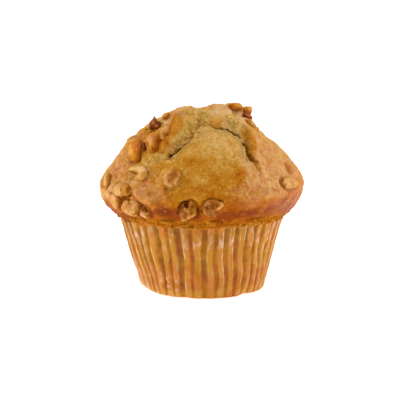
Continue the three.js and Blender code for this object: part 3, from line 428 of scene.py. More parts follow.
def nut_frame(k):
    if k in WALNUTS:
        az, el, w, hh, t, spin, proud = WALNUTS[k][:7]
    else:
        az, el = on_crown(*np.mean([v[:2] for v in SHAPES[k][0]], axis=0))
        w = hh = t = spin = proud = 0
    at = crust_point(az, el)
    du = crust_point(az + 2, el) - crust_point(az - 2, el)
    dv = crust_point(az, el + 2) - crust_point(az, el - 2)
    n = np.cross(du, dv)
    n /= np.linalg.norm(n)
    at = at + n * (LIFT.get(k, 0.0) + RAISE.get(k, 0.0))
    if k in SHAPES:
        # a piece seen edge-on is laid out in a plane turned towards the front, as its near side is what shows
        view = (CAM_AT - at) / np.linalg.norm(CAM_AT - at)
        while n @ view < {1: 0.985, 2: 0.985, 8: 0.88, 10: 0.92, 11: 0.95, 5: 0.93}.get(k, 0.84):
            n = n + 0.05 * view
            n /= np.linalg.norm(n)
        u, v = EAST([0, 0, n])
        at = to_plane(*np.mean([q[:2] for q in SHAPES[k][0]], axis=0), at, n)
        return at, np.array([u, v, n]), None
    u = du / np.linalg.norm(du)
    v = np.cross(n, u)
    c, s = math.cos(math.radians(spin)), math.sin(math.radians(spin))
    return at + n * ((proud - 0.5) * t - 0.3), np.array([c * u + s * v, -s * u + c * v, n]), np.array([w, hh, t]) * 0.56


def EAST(axes):
    """Right and up, as seen from outside, in a piece's own plane."""
    n = axes[2]
    right = np.cross([0, 0, 1.0], n)
    right /= np.linalg.norm(right)
    return right, np.cross(n, right)


def facets(points, values, at):
    """Values at 'at', flat between the points over their Delaunay triangles."""
    tri = delaunay_2d_cdt([Vector(p) for p in points], [], [], 0, 1e-6)[2]
    best = np.full(len(at), -1e9)
    out = np.zeros((len(at), values.shape[1]))
    for a, b, c in tri:
        m = np.array([points[b] - points[a], points[c] - points[a]]).T
        if abs(np.linalg.det(m)) < 1e-6:
            continue
        w = (at - points[a]) @ np.linalg.inv(m).T
        w = np.concatenate([1 - w.sum(1, keepdims=True), w], 1)
        low = w.min(1)
        ok = low > best
        w = np.clip(w, 0, 1)
        w /= w.sum(1, keepdims=True)
        v = w @ values[[a, b, c]]
        out = np.where(ok[:, None], v, out)
        best = np.maximum(best, low)
    return out


def gap_share(k, theta, wobble=0.0):
    """How open the gap beside a piece is towards theta (degrees from its right in the front view)."""
    out = np.zeros(len(theta))
    for towards, half_width, strength in NUT_GAPS.get(k, [((k * 137) % 360, 60, 0.7), ((k * 137 + 150) % 360, 25, 0.5)]):
        turn = np.abs((theta - towards + 180) % 360 - 180)
        out = np.maximum(out, strength * (1 - smooth(half_width * 0.6, half_width * 1.3, turn + wobble)))
    return out


def shaped_piece(k):
    """A piece of SHAPES: its points, faces and looks."""
    outline, tops = SHAPES[k]
    at, axes, _ = nut_frame(k)
    ctrl = np.array([(v + (0.0,))[:4] for v in outline + tops])
    flat = np.array([(to_plane(x, y, at + axes[2] * h, axes[2]) - at - axes[2] * h) @ axes[:2].T for x, y, h, _ in ctrl])
    values = ctrl[:, 2:4]
    ring = flat[: len(outline)]
    mid = ring.mean(0)
    size = np.hypot(*(ring - mid).T).mean()
    turns = 24 if k > 100 else (100)
    th = np.arange(turns) * 2 * math.pi / turns
    d = np.stack([np.cos(th), np.sin(th)], 1)
    reach = np.zeros(turns)
    for a, b in zip(ring, np.roll(ring, -1, 0)):
        e = b - a
        den = d[:, 0] * e[1] - d[:, 1] * e[0]
        den = np.where(np.abs(den) < 1e-9, 1e-9, den)
        f = a - mid
        dist = (f[0] * e[1] - f[1] * e[0]) / den
        along = (f[0] * d[:, 1] - f[1] * d[:, 0]) / den
        hit = (along >= -1e-6) & (along <= 1 + 1e-6) & (dist > 0)
        reach = np.where(hit, np.maximum(reach, dist), reach)
    reach = 0.25 * np.roll(reach, 1) + 0.5 * reach + 0.25 * np.roll(reach, -1)
    if 6 <= k <= 14:
        round_ = np.concatenate([2.2 * d, np.full((turns, 1), 3.7 * k)], 1)
        reach = reach * (1 + 0.07 * noise(round_, 1.5, 400 + k) + 0.06 * noise(round_, 0.7, 420 + k))
    rows = 8 if k > 100 else (26)
    rho = np.linspace(0, 1, rows + 1)[1:] ** 0.85
    grid = mid + rho[:, None, None] * reach[None, :, None] * d[None]
    flatp = np.concatenate([[mid], grid.reshape(-1, 2)])
    fine = min(0.16, 0.07 * size)
    ang = np.arange(6) * math.pi / 3
    near = np.concatenate([[np.zeros(2)], fine * np.stack([np.cos(ang), np.sin(ang)], 1)])
    wide = 5.0 * near
    got = np.mean([facets(flat, values, flatp + o) for o in near], 0)
    far = np.mean([facets(flat, values, flatp + o) for o in wide], 0)
    h, tone = got[:, 0], got[:, 1]
    hollow = np.clip((far[:, 0] - h) / 0.35, 0, 1)
    r1 = np.concatenate([[0], np.repeat(rho, turns)])
    pos3 = np.concatenate([flatp, h[:, None]], 1) + 17.3 * k
    # tops flatter than a dome, broken into small planes with creases between them
    h = np.where(h > 0.8, 0.8 + (h - 0.8) * (0.85 if k <= 2 else 0.62), h) + 0.15
    near1, near2, which = cells(pos3 * [1, 1, 0.3] + 0.5 * np.stack([noise(pos3, 2.0, 31 * k + 4), noise(pos3, 2.0, 31 * k + 5), 0 * h], 1), min(2.6, 0.9 * size), 31 * k + 6)
    inner = 1 - smooth(0.7, 1.0, r1)
    crease = (1 - smooth(0.0, 0.22, near2 - near1)) * inner
    much = 0.1 if k <= 5 else 0.5
    h = h + much * (0.5 * (which - 0.5) * smooth(0.0, 0.3, near2 - near1) * inner - 0.22 * crease) * smooth(0.8, 1.6, size) - 0.25 * smooth(0.9, 1.0, r1) ** 2
    tone = tone - 0.5 * much * (which - 0.5) * inner
    hollow = np.clip(hollow + 0.35 * much * crease, 0, 1)
    h = h + (0.13 * noise(pos3, 1.5, 31 * k) + 0.08 * noise(pos3, 0.7, 31 * k + 1) + 0.04 * noise(pos3, 0.35, 31 * k + 2)) * smooth(0, 0.6, size - 0.4)
    wob = 0.10 * noise(pos3, 0.9, 31 * k + 3)
    flatp = flatp + (wob * r1)[:, None] * (flatp - mid) / np.maximum(size, 1e-6)
    top = np.concatenate([flatp, h[:, None]], 1)
    # the side goes down into the dough and closes under the piece
    edge = top[-turns:]
    deep = min(3.0, 0.9 * size)
    rings = [top]
    open_side = gap_share(k, np.degrees(th)) if k in WALNUTS else np.zeros(turns)
    open_side = smooth(0.15, 0.8, open_side)
    outwards = (edge[:, :2] - mid) / np.linalg.norm(edge[:, :2] - mid, axis=1)[:, None]
    # side_shade: painted shade down the side wall, more where the gap beside the piece is open
    side_shade = []
    for share, drop, flare in ((1.015, 0.13, 0.06), (1.015, 0.25, 0.48), (1.0, 0.42, 0.40), (0.97, 0.66, 0.0), (0.84, 0.86, 0.0), (0.5, 1.0, 0.0)):
        q = edge.copy()
        q[:, :2] = mid + (edge[:, :2] - mid) * share + outwards * (flare * open_side)[:, None]
        q[:, 2] = edge[:, 2] * (1 - drop) + (-deep * drop)
        rings.append(q)
        side_shade.append(np.clip(0.12 + 1.1 * open_side, 0, 1.2))
    rings.append(np.array([[mid[0], mid[1], -deep * 1.02]]))
    local = np.concatenate(rings)
    total = rows + 6
    idx = 1 + np.arange(total * turns).reshape(total, turns)
    nxt = np.roll(idx, -1, 1)
    tris = [np.stack([np.zeros(turns, int), idx[0], nxt[0]], 1)]
    tris += [np.stack([idx[:-1], idx[1:], nxt[1:]], -1).reshape(-1, 3), np.stack([idx[:-1], nxt[1:], nxt[:-1]], -1).reshape(-1, 3)]
    tris.append(np.stack([np.full(turns, len(local) - 1), nxt[-1], idx[-1]], 1))
    n_side = len(local) - len(top)
    pad = lambda a, v: np.concatenate([a, np.full(n_side, v)])
    film = smooth(0.66, 1.0, r1 + 0.22 * noise(pos3, 1.2, 31 * k + 7)) * (1 - np.concatenate([[0], np.tile(open_side, rows)])) * NUT_FILM.get(k, 0.7)
    # fold: painted shade in hollows and creases of the top, along its rim and down its side wall, strongest where the
    # gap beside the piece is open
    folds = np.concatenate([np.clip(0.8 * hollow + 0.10 * smooth(0.92, 1.0, r1), 0, 1), *side_shade, [0.3]])
    pts = at + local @ axes
    q = front_view(pts)
    pink, gold, up = np.zeros(len(pts)), np.zeros(len(pts)), pad(0.5 * tone, 0.1)
    for x, y, rx, ry, turn, to_pink, to_gold, darker in NUT_TINTS:
        if abs(x - q[0, 0]) < 14 and abs(y - q[0, 1]) < 16:
            b = blob(q, x, y, rx, ry, turn, 1.2)
            pink, gold, up = np.maximum(pink, to_pink * b), np.maximum(gold, to_gold * b), up + 0.5 * darker * b
    skin = WALNUTS[k][8] if k in WALNUTS else (1.0 if CHIPS[k] == 2 else 0.0)
    is_skin = smooth(-0.12, 0.12, noise(local * 1.0 + 5 * k, 2.6, 31 * k + 9) + (skin - 0.5) * 1.7) if skin > 0 else np.zeros(len(local))
    return pts, np.concatenate(tris), {"skin": is_skin, "fold": folds, "up": np.clip(up, -1, 1), "film": pad(film, 0.0), "pink": pink, "gold": gold}


_nut_sphere = geodesic(16)


def nut_points(k):
    """One chopped piece: its points in the part's frame and what drives its colours."""
    if k in SHAPES:
        return shaped_piece(k)
    v, faces = _nut_sphere
    centre, axes, half = nut_frame(k)
    skin = WALNUTS[k][8]
    rng = np.random.default_rng(700 + k)
    r = np.full(len(v), 1.0)
    cuts = []
    for i in range(13):
        up = 1 - 2 * (i + 0.5) / 13
        turn = i * 2.4 + k * 1.37 + rng.uniform(-0.5, 0.5)
        flat = math.sqrt(1 - up * up)
        cuts.append((np.array([flat * math.cos(turn), flat * math.sin(turn), up]), rng.uniform(0.56, 0.88)))
    soft = 0.016
    for n, dist in cuts:
        cs = v @ n
        ri = np.where(cs > 0.12, dist / np.maximum(cs, 0.12), 9.0)
        m = np.clip(0.5 + 0.5 * (ri - r) / (2 * soft), 0, 1)
        r = ri * (1 - m) + r * m - soft * m * (1 - m)
    p = v * r[:, None]
    # folds of the kernel: a few rounded lobes with creases between them
    w1 = noise(p, 0.85, 31 * k + 1)
    crease = bell(w1 / 0.10) * smooth(-0.5, 0.1, p[:, 2]) * smooth(-0.3, 0.3, noise(p, 1.2, 31 * k + 5))
    p = p * (1 - 0.12 * crease + 0.08 * noise(p, 0.6, 31 * k + 2) + 0.04 * noise(p, 0.28, 31 * k + 3))[:, None]
    lo, hi = p.min(0), p.max(0)
    p = (p - (lo + hi) / 2) / (hi - lo) * 2 * np.array([0.96, 0.96, 0.9])
    is_skin = smooth(-0.12, 0.12, noise(v, 1.0, 31 * k + 9) + (skin - 0.5) * 1.7) if skin > 0 else np.zeros(len(v))
    tone = 0.25 * noise(p, 0.9, 31 * k + 7)
    # fold: painted shade in the kernel's creases
    return centre + (p * half) @ axes, faces, {"skin": is_skin, "fold": 0.6 * crease, "up": tone, "film": 0 * tone, "pink": smooth(0.0, 0.5, noise(p, 1.1, 31 * k + 8)), "gold": 0 * tone}


# ------------------------------------------------------------------------------------------------- sculpting tools
def from_line(q, line, scale):
    """Distance in mm from a polyline, the side (+1 right hand of its run in the front view) and its values there."""
    best = np.full(len(q), 1e9)
    side = np.ones(len(q))
    vals = np.zeros((len(q), line.shape[1] - 2))
    for a, b in zip(line[:-1], line[1:]):
        ab = b[:2] - a[:2]
        t = np.clip(((q - a[:2]) @ ab) / (ab @ ab), 0, 1)
        off = q - a[:2] - t[:, None] * ab
        d = np.hypot(off[:, 0], off[:, 1])
        near = d < best
        best = np.where(near, d, best)
        side = np.where(near, np.sign(ab[0] * off[:, 1] - ab[1] * off[:, 0]), side)
        vals = np.where(near[:, None], a[2:] * (1 - t[:, None]) + b[2:] * t[:, None], vals)
    return best * scale, side, vals


def stroke(q, points, width):
    """1 on a line in the front view, fading over width (mm) to either side."""
    line = np.array(points, float)
    out = np.zeros(len(q))
    lo, hi = line[:, :2].min(0) - 8 * width, line[:, :2].max(0) + 8 * width
    m = ((q > lo) & (q < hi)).all(1)
    if m.any():
        out[m] = bell(from_line(q[m], line, 0.41)[0] / width)
    return out


def blob(q, x, y, rx, ry, turn=0.0, soft=1.0):
    """A soft ellipse in the front view: 1 inside, fading outside over a share of its radius."""
    c, s = math.cos(math.radians(turn)), math.sin(math.radians(turn))
    dx, dy = q[:, 0] - x, q[:, 1] - y
    u, v = (c * dx + s * dy) / rx, (-s * dx + c * dy) / ry
    return 1 - smooth(1 - 0.5 * soft, 1 + 0.5 * soft, np.hypot(u, v))


# ------------------------------------------------------------------------------------------------- the cake
# The crack over the front of the crown, left end to right end, in the front view's units. Beside each point: how far
# beyond it the torn crust rises to its ridge (mm), how deep the hollow is, how deep the slit at its foot is (mm), and
# how crumbly its outer side is.
CRACK = np.array([
    (164, 161, 0.8, 0.2, 0.0, 0.3), (168.5, 158.5, 2.0, 1.2, 1.0, 0.8), (172, 156.3, 3.4, 1.8, 2.4, 1.0), (175, 154.2, 4.0, 1.6, 1.5, 1.0), (180, 149.6, 4.8, 1.4, 1.2, 1.0),
    (184, 146.3, 5.2, 1.3, 0.8, 1.0), (188.5, 142, 5.2, 1.2, 0.8, 1.0), (192, 138.8, 5.0, 1.0, 0.5, 1.0), (195.5, 132, 4.6, 0.9, 0.2, 1.0), (198, 127.5, 4.4, 1.0, 0.3, 1.0),
    (200.2, 124.7, 4.0, 1.2, 0.9, 1.0), (205, 124.3, 3.4, 1.0, 0.6, 0.9), (210, 124, 3.4, 1.0, 1.0, 0.3), (213, 127.2, 3.8, 1.4, 1.5, 0.1), (218, 129, 4.4, 1.5, 1.7, 0.2),
    (223.5, 129.7, 5.0, 1.4, 1.1, 0.5), (227.5, 130.3, 5.4, 1.4, 1.6, 0.8), (231.3, 133.7, 5.6, 1.6, 2.8, 0.9), (235, 135.6, 5.6, 1.6, 2.6, 0.9), (238.8, 138.4, 5.2, 1.8, 2.0, 0.9),
    (240.6, 142, 4.8, 2.0, 1.8, 0.9), (243.8, 145, 4.0, 2.3, 2.0, 0.8), (245.4, 149.5, 3.6, 2.6, 2.0, 0.5), (245.8, 154.5, 3.2, 2.5, 1.9, 0.3), (248.6, 159.4, 2.5, 2.1, 1.8, 0.2),
    (253.2, 163.2, 1.6, 1.5, 1.4, 0.2), (256.2, 168.5, 1.0, 0.7, 0.6, 0.1), (259.0, 172.5, 0.7, 0.2, 0.2, 0.1),
])
# Small corrections of the crown where it stands against the sky, in the front view: column, row, height and width (mm).
SKYLINE = [
    (102, 181, -2.4, 4.4), (152, 119, -1.6, 2.6), (110, 168, 0.4, 2.0), (122, 149, 0.4, 2.0), (119, 156, 0.4, 1.6),
    (101.5, 192, -1.1, 3.4), (116, 213, -1.2, 3.0), (134.5, 137, -1.0, 1.6), (110, 166, -0.8, 2.0), (117, 157, -0.9, 2.0), (298, 203, -0.6, 7.0), (217, 105, 1.2, 4.5), (230, 106, 1.3, 5.0), (243, 111, 1.6, 3.5),
    (254, 121, 0.8, 3.0), (128, 140, 1.0, 2.5), (158, 117, -1.3, 2.6), (146, 124, -0.7, 2.2), (170, 111, -0.7, 2.6), (134, 138, 0.5, 1.6), (153, 121, -0.6, 2.0),
]
# Painted shade in small hollows between the pieces, in the front view: a line, its width (mm) and how dark the painted
# shade is.
SHADES = [
    ([(148, 131), (152.5, 131.8), (157, 131.4)], 0.5, 0.75), ([(140, 140), (142.4, 142.6)], 0.35, 0.7), ([(122, 200.5), (126, 196.8)], 1.1, 0.6), ([(121.6, 203.6), (120.4, 208)], 0.4, 0.8),
    ([(132.4, 189), (132.6, 193)], 0.5, 0.4), ([(135.5, 196), (136.5, 199)], 0.7, 0.45), ([(108.4, 192.4), (109.6, 193.4)], 0.4, 0.45), ([(117, 182), (120, 183.6), (124, 182)], 0.5, 0.4),
    ([(141, 180.4), (146, 179.4), (149, 176.5)], 0.5, 0.4), ([(171.2, 155), (171.8, 158)], 0.7, 0.9), ([(134.5, 215.5), (138, 212)], 0.5, 0.5), ([(143, 218), (146, 220.5)], 0.5, 0.5),
    ([(190, 141), (187, 144.4)], 0.45, 0.5), ([(182.5, 147), (178, 151.6)], 0.45, 0.5), ([(192.5, 138), (194.5, 133)], 0.45, 0.4), ([(216, 212), (217, 214.5)], 0.4, 0.35), ([(286, 164), (288.6, 168), (290.4, 174)], 0.45, 0.16), ([(157, 152.4), (162, 152.8), (168, 148.4)], 0.6, 0.25), ([(135, 136.6), (141, 137), (144, 134.4)], 0.6, 0.25), ([(111, 168.4), (118, 168.4), (124, 166)], 0.5, 0.2), ([(235.4, 118), (237.4, 121.5)], 0.5, 0.35),
    ([(129.4, 160.6), (131.4, 161.6)], 0.5, 0.45), ([(146.4, 154.4), (147, 157)], 0.45, 0.4), ([(111.6, 169.6), (113.4, 171.4)], 0.6, 0.4), ([(149.8, 167.5), (151.4, 172), (150.8, 177.5)], 0.7, 0.4),
    ([(160.6, 140.6), (163.4, 142.4), (164, 145.6)], 0.6, 0.4), ([(159.4, 147), (160.4, 149.4)], 0.4, 0.3), ([(179.6, 186), (183, 180), (184, 175)], 0.8, 0.25), ([(174.4, 169.4), (177.4, 170.6)], 0.5, 0.45),
    ([(165, 188.6), (169, 191.4), (173.5, 189.4)], 0.5, 0.3), ([(119.6, 196.8), (126, 196.6)], 0.35, 0.5), ([(136.4, 215.8), (139.4, 213)], 0.4, 0.5), ([(155, 163), (160, 158.4)], 0.6, 0.25),
]
# A finer tear over the back, as azimuth and elevation in degrees, with the same values.
BACK_CRACK = np.array([
    (142, 18, 0.8, 0.2, 0.0, 0.4), (148, 27, 3.0, 1.6, 1.4, 0.8), (156, 38, 4.5, 2.0, 1.4, 1.0), (168, 44, 5.2, 2.2, 1.2, 1.0),
    (180, 48, 5.4, 2.0, 1.6, 0.9), (198, 49, 5.2, 2.0, 2.0, 0.8), (208, 44, 4.6, 2.2, 2.0, 0.7), (215, 36, 4.0, 2.2, 2.0, 0.6),
    (220, 26, 2.4, 1.4, 1.4, 0.4), (224, 18, 0.8, 0.2, 0.0, 0.2),
])


def slit_waver(p):
    """How far the edge of the torn crust strays from its line (mm)."""
    return 0.34 * noise(p, 2.4, 41) + 0.36 * noise(p, 1.1, 42) + 0.16 * noise(p, 0.55, 43)


def slit_shape(s, slit, fade=0.0, more=0.0):
    """1 in the dark slit at the foot of the torn crust, whose width grows with its depth; fade carries it up its far wall."""
    wide = 0.40 + 0.42 * slit / 2.4 + more
    return smooth(-0.28, 0.04, s) * (1 - smooth(wide, wide + 0.75 - fade, s - fade))


def tear(s, ridge, hollow, slit, crack_lip, more=0.0):
    """Height beside a crack at signed distance s (mm, positive on the torn side)."""
    x = np.clip(s, 0, None) / np.maximum(ridge, 0.5)
    h = -hollow * np.where(s > 0, 1 - smooth(0.0, 0.92, x), 1 - smooth(0.0, 0.9, -s))
    h -= 1.25 * slit * slit_shape(s, slit, 0.0, more)
    rise = smooth(0.8, 4.0, ridge)
    h += crack_lip * rise * np.where(s > ridge, bell((s - ridge) / 4.5), np.where(s > 0, bell((s - ridge) / (0.35 * ridge + 0.3)), 0))
    h += np.where(s < 0, 0.7 * bell((s + 4.5) / 5.5) + 0.6 * bell((s + 0.7) / 0.7), 0) * smooth(0.4, 1.8, hollow + 0.4)
    return h


def make_cake(detail):
    d, faces = geodesic(detail)
    # more of the points go to the crown than to the part inside the case, and most to the torn top of the front
    u = d[:, 2]
    split, lip = -0.78, math.sin(math.radians(-24.2))
    u2 = np.where(u < split, -1 + (u + 1) / (split + 1) * (lip + 1), lip + (u - split) / (1 - split) * (1 - lip))
    flat = np.sqrt(np.maximum(0, 1 - u2 * u2)) / np.maximum(np.hypot(d[:, 0], d[:, 1]), 1e-9)
    d = np.stack([d[:, 0] * flat, d[:, 1] * flat, u2], 1)
    d /= np.linalg.norm(d, axis=1)[:, None]
    focus = directions(np.array([0.03]), np.array([0.72]))[0]
    cs = d @ focus
    zoom = 0.33
    cs2 = (cs + zoom) / (1 + zoom * cs)
    away = d - cs[:, None] * focus
    away /= np.maximum(np.linalg.norm(away, axis=1), 1e-9)[:, None]
    d = cs2[:, None] * focus + np.sqrt(np.maximum(0, 1 - cs2 * cs2))[:, None] * away
    d /= np.linalg.norm(d, axis=1)[:, None]
    az, el = np.arctan2(d[:, 0], -d[:, 1]), np.arcsin(np.clip(d[:, 2], -1, 1))
    base = crown_distance(az, el)
    p0 = CENTRE + d * base[:, None]
    # and the points beside the front crack draw in towards its slit
    q = front_view(p0)
    m = np.nonzero((p0[:, 1] < 4) & (q[:, 0] > 158) & (q[:, 0] < 266) & (q[:, 1] > 112) & (q[:, 1] < 180))[0]
    dist, side, foot = from_line(q[m], np.concatenate([CRACK[:, :2], CRACK[:, :2]], 1), 0.41)
    s = dist * np.where(side < 0, 1, -1) + slit_waver(p0[m]) - 0.25
    keep = 1 - (1 - np.clip(np.abs(s) / 2.4, 0, 1)) * 0.68
    away = (q[m] - foot) / np.maximum(dist / 0.41, 1e-3)[:, None] * np.where(side < 0, 1, -1)[:, None]
    step = away * (s * (keep - 1))[:, None]
    w = step[:, :1] * _r - step[:, 1:] * _u
    w -= ((w * d[m]).sum(1) / (d[m] @ _d))[:, None] * _d
    d[m] = p0[m] + w - CENTRE
    d /= np.linalg.norm(d, axis=1)[:, None]
    az, el = np.arctan2(d[:, 0], -d[:, 1]), np.arcsin(np.clip(d[:, 2], -1, 1))
    base = crown_distance(az, el)
    p0 = CENTRE + d * base[:, None]
    crown = smooth(math.radians(-25.0), math.radians(-22.0), el)  # 1 on the crown, 0 in the case
    z = p0[:, 2]
    lipz = rim_z(az) + 0.25
    front = np.maximum(0, np.cos(az)) ** 0.8

    # ---- broad unevenness
    h = 0.75 * np.sin(az) * bell((z - 52) / 8) - 0.25 * np.cos(az) * bell((z - 60) / 10)
    h += 0.8 * fbm(p0, 26, 2, 3) * smooth(32, 44, z)
    qf = front_view(p0)
    lumpy = np.clip(0.35 + (p0[:, 1] < 4) * (1.3 * blob(qf, 146, 140, 22, 30, 30, 1.4) + 1.3 * blob(qf, 124, 190, 24, 24, 0, 1.2) + 0.9 * blob(qf, 215, 112, 36, 12, 0, 1.2)) + (p0[:, 1] > 4) * 0.5 * smooth(-0.1, 0.4, noise(p0, 18, 6)), 0, 1.7)
    h += 0.62 * fbm(p0, 9.5, 3, 5)
    h += (0.2 + 0.55 * lumpy) * fbm(p0, 4.2, 3, 8)
    h -= 1.5 * bell((p0[:, 0] + 1.5) / 6.5) * smooth(66, 72, z)
    h -= 0.7 * np.clip(np.sin(az), 0, 1) ** 2 * smooth(46, 52, z) + 0.9 * bell((np.degrees(az) - 85) / 22) * bell((z - 63) / 5)
    h -= 0.5 * np.clip(-np.sin(az), 0, 1) ** 2 * bell((z - 62) / 5)
    for x, y, amount, wide in SKYLINE:
        h += amount * bell(np.linalg.norm(p0 - crust_point(*on_crown(x, y)), axis=1) / wide)
    h *= crown

    # ---- the front, in the front view
    q = front_view(p0)
    facing = smooth(6, -2, p0[:, 1]) * crown
    ragged = slit_waver(p0)
    dist, side, vals = from_line(q, CRACK, 0.41)
    ridge, hollow, slit, rough = vals.T
    s = dist * np.where(side < 0, 1, -1) + ragged
    more = 0.18 * smooth(222, 228, q[:, 0]) * (1 - 0.8 * smooth(238, 245, q[:, 0])) * (1 + 0.9 * noise(p0, 1.6, 116)) + 0.40 * smooth(238, 244, q[:, 0]) * smooth(140, 146, q[:, 1]) * (1 + 0.6 * noise(p0, 1.8, 114))  # the slit gapes at its right end
    h += facing * tear(s, ridge, hollow, slit * (0.8 + 0.5 * noise(p0, 3.0, 44)), 1.3, more)
    reach = ridge * (0.95 - 0.62 * smooth(204, 214, q[:, 0])) + 0.5 * noise(p0, 2.8, 49)
    torn = smooth(-0.3, 0.0, s) * (1 - smooth(reach - 0.3, reach + 0.5, s)) * rough * facing
    lip_crumb = bell((s + 0.5) / 0.8) * smooth(0.6, 1.6, hollow) * facing
    in_slit = np.clip(1.1 * slit_shape(s - 0.05, slit, 0.45, more) * smooth(0.3, 1.7, slit * (1 + 0.4 * noise(p0, 2.2, 47))), 0, 1) * facing
    in_hollow = np.where(s > -0.2, 1 - smooth(0.0, 0.8, np.clip(s, 0, None) / np.maximum(ridge, 0.5)), 0) * smooth(0.5, 2.0, hollow) * facing

    # left plate: its edge, and the groove beside it
    h += facing * (
        1.3 * stroke(q, [(190, 113.5), (181, 113), (176.5, 117), (174.5, 127), (171, 137), (166, 147)], 0.8)
        - 1.6 * stroke(q, [(174, 111), (170.5, 120), (168.5, 130), (165, 140), (161, 149)], 0.75)
        - 0.8 * stroke(q, [(181, 118), (180, 128), (176, 138), (171, 147)], 1.0)
        - 1.1 * stroke(q, [(188, 125), (190.5, 130), (190, 136)], 0.8) - 1.0 * stroke(q, [(183, 125), (181.5, 132)], 0.6)
        # the notch up to the skyline, and the hole below it
        - 0.9 * stroke(q, [(199.5, 122), (201.5, 116), (204, 109), (205, 104)], 1.2) - 0.9 * stroke(q, [(199.5, 124), (198, 118)], 0.7)
        + 0.8 * stroke(q, [(184, 105), (190, 105.5)], 1.4)
        # the brow of the back plate
        + 0.7 * stroke(q, [(208, 115), (217, 116), (226, 119), (235, 123), (242, 129)], 1.2)
        + 0.6 * stroke(q, [(236, 118), (244, 127), (251.4, 138), (254.0, 149), (257.2, 161), (262, 174)], 0.9)
        - 0.5 * stroke(q, [(242.5, 127.5), (246, 132), (247.4, 138), (247, 144)], 0.8)
        - 0.7 * stroke(q, [(234, 113), (237, 120), (243, 127)], 0.9)
        # dough heaped beside the cluster at the lower left, and the step down to it
        + 1.8 * stroke(q, [(127, 180), (133, 188), (139, 195), (146, 201), (153, 206)], 2.4) * (1 + 0.4 * noise(p0, 3.0, 76))
        - 2.6 * blob(q, 121.5, 200.5, 8, 6, 35, 0.9) - 1.0 * blob(q, 124, 203, 15, 12, 25, 1.0)
        - 0.5 * blob(q, 113, 181, 8, 7, 0, 1.8)
        - 0.9 * stroke(q, [(118, 176), (121, 180), (122, 184)], 1.0)
        + 0.5 * blob(q, 140.5, 135, 6, 4, -35, 1.2) + 0.5 * blob(q, 121, 157, 6, 5, -40, 1.3) + 0.6 * blob(q, 118, 172, 7, 5, -20, 1.3) + 0.6 * blob(q, 168, 146, 7, 3.5, -40, 1.2)
        + 0.4 * blob(q, 156, 168, 8, 4, 10, 1.4) - 0.5 * stroke(q, [(111, 170), (116, 166), (124, 164)], 0.9) - 0.4 * stroke(q, [(152, 166), (154, 172), (160, 176)], 0.9)
        # the crease over the right-hand piece
        - 1.1 * stroke(q, [(285.5, 163), (287.8, 167), (289.4, 171), (290.2, 174.5)], 0.42) + 0.6 * stroke(q, [(290, 166), (293.5, 171), (295, 176)], 0.8)
        + 0.4 * stroke(q, [(285, 160), (290, 166), (294, 172)], 0.9)
        - 0.7 * stroke(q, [(163, 188), (167, 191), (171, 190)], 0.7)
        # orange hollow between the pieces at the upper left
        - 1.0 * blob(q, 146, 156, 5, 6, 0, 1.2)
        - 0.8 * stroke(q, [(143.5, 140), (144.5, 150), (143, 158)], 0.8)
        + 0.5 * blob(q, 212, 165, 30, 16, 10, 1.8)
        # knobs of dough among the pieces at the upper left
        + 1.1 * blob(q, 131.5, 138.6, 4.5, 3.2, -35, 0.7) + 0.9 * blob(q, 145.5, 131.5, 3.6, 3.0, -35, 0.7) + 1.2 * blob(q, 164, 148, 5, 3.2, -30, 0.6) + 1.1 * blob(q, 172, 142, 4, 3, -40, 0.6)
        + 0.9 * blob(q, 151, 157, 4.5, 3, 10, 0.7) + 0.7 * blob(q, 121, 164, 5, 4, -30, 0.8) + 0.9 * blob(q, 115, 172, 4, 4, 0, 0.7) + 0.7 * blob(q, 126, 160, 4, 3, -30, 0.7) + 0.8 * blob(q, 119, 178, 4, 3, 0, 0.7)
        - 0.9 * stroke(q, [(157, 152), (162, 152.4), (168, 148), (169, 142)], 0.6) - 0.7 * stroke(q, [(136, 137), (141, 137), (144, 134)], 0.6) - 0.8 * stroke(q, [(112, 168), (118, 168), (124, 166)], 0.6)
        # lumps and creases in the piece behind the tear
        + 0.7 * noise(p0, 4.6, 115) * blob(q, 222, 114, 26, 13, 12, 1.0) - 0.8 * stroke(q, [(212, 106), (216, 111), (215.6, 117)], 0.9)
        - 0.9 * stroke(q, [(231, 108), (235, 115), (236, 122), (240, 128)], 0.9) + 0.6 * blob(q, 228, 116, 5, 5, 0, 1.2)
    )

    # ---- the back crack, in azimuth and elevation
    wide = math.cos(math.radians(38))
    qm = np.stack([(np.degrees(az) % 360 - 184) * wide, np.degrees(el)], 1)
    line = BACK_CRACK.copy()
    line[:, 0] = (line[:, 0] - 184) * wide
    dist, side, vals = from_line(qm, line, 0.6)
    ridge2, hollow2, slit2, rough2 = vals.T
    sb = dist * np.where(side > 0, 1, -1) + ragged
    back = smooth(0, 8, p0[:, 1]) * crown
    h += back * tear(sb, ridge2, hollow2, slit2 * (0.8 + 0.5 * noise(p0, 3.0, 45)), 1.1)
    torn = np.maximum(torn, np.where((sb > -0.2) & (sb < ridge2), 1.0, 0.0) * rough2 * back)
    in_slit = np.maximum(in_slit, np.clip(slit_shape(sb - 0.05, slit2, 0.4) * smooth(0.4, 1.6, slit2), 0, 1) * back)
    in_hollow = np.maximum(in_hollow, np.where(sb > -0.2, 1 - smooth(0.0, 0.8, np.clip(sb, 0, None) / np.maximum(ridge2, 0.5)), 0) * smooth(0.5, 2.0, hollow2) * back)

    # ---- torn patches beside the crack
    patch = np.maximum.reduce([
        0.9 * blob(q, 148, 160, 9, 6, 10, 0.9), 0.8 * blob(q, 161, 157, 8, 4.5, 20, 0.9), blob(q, 203, 114, 6, 7, 0, 0.9), 0.7 * blob(q, 232, 124, 12, 6, 35, 0.9),
        0.6 * blob(q, 190, 112, 9, 5, 0, 0.9),
    ]) * facing
    edge_crumb = np.maximum(0.75 * bell((s + 0.9) / 1.3) * smooth(0.6, 1.6, hollow), 0.7 * stroke(q, [(180, 152), (189, 146), (197, 138), (202, 130)], 1.6)) * facing
    torn = np.maximum(torn, np.maximum(patch, edge_crumb * smooth(-0.5, 0.2, noise(p0, 2.2, 46))))
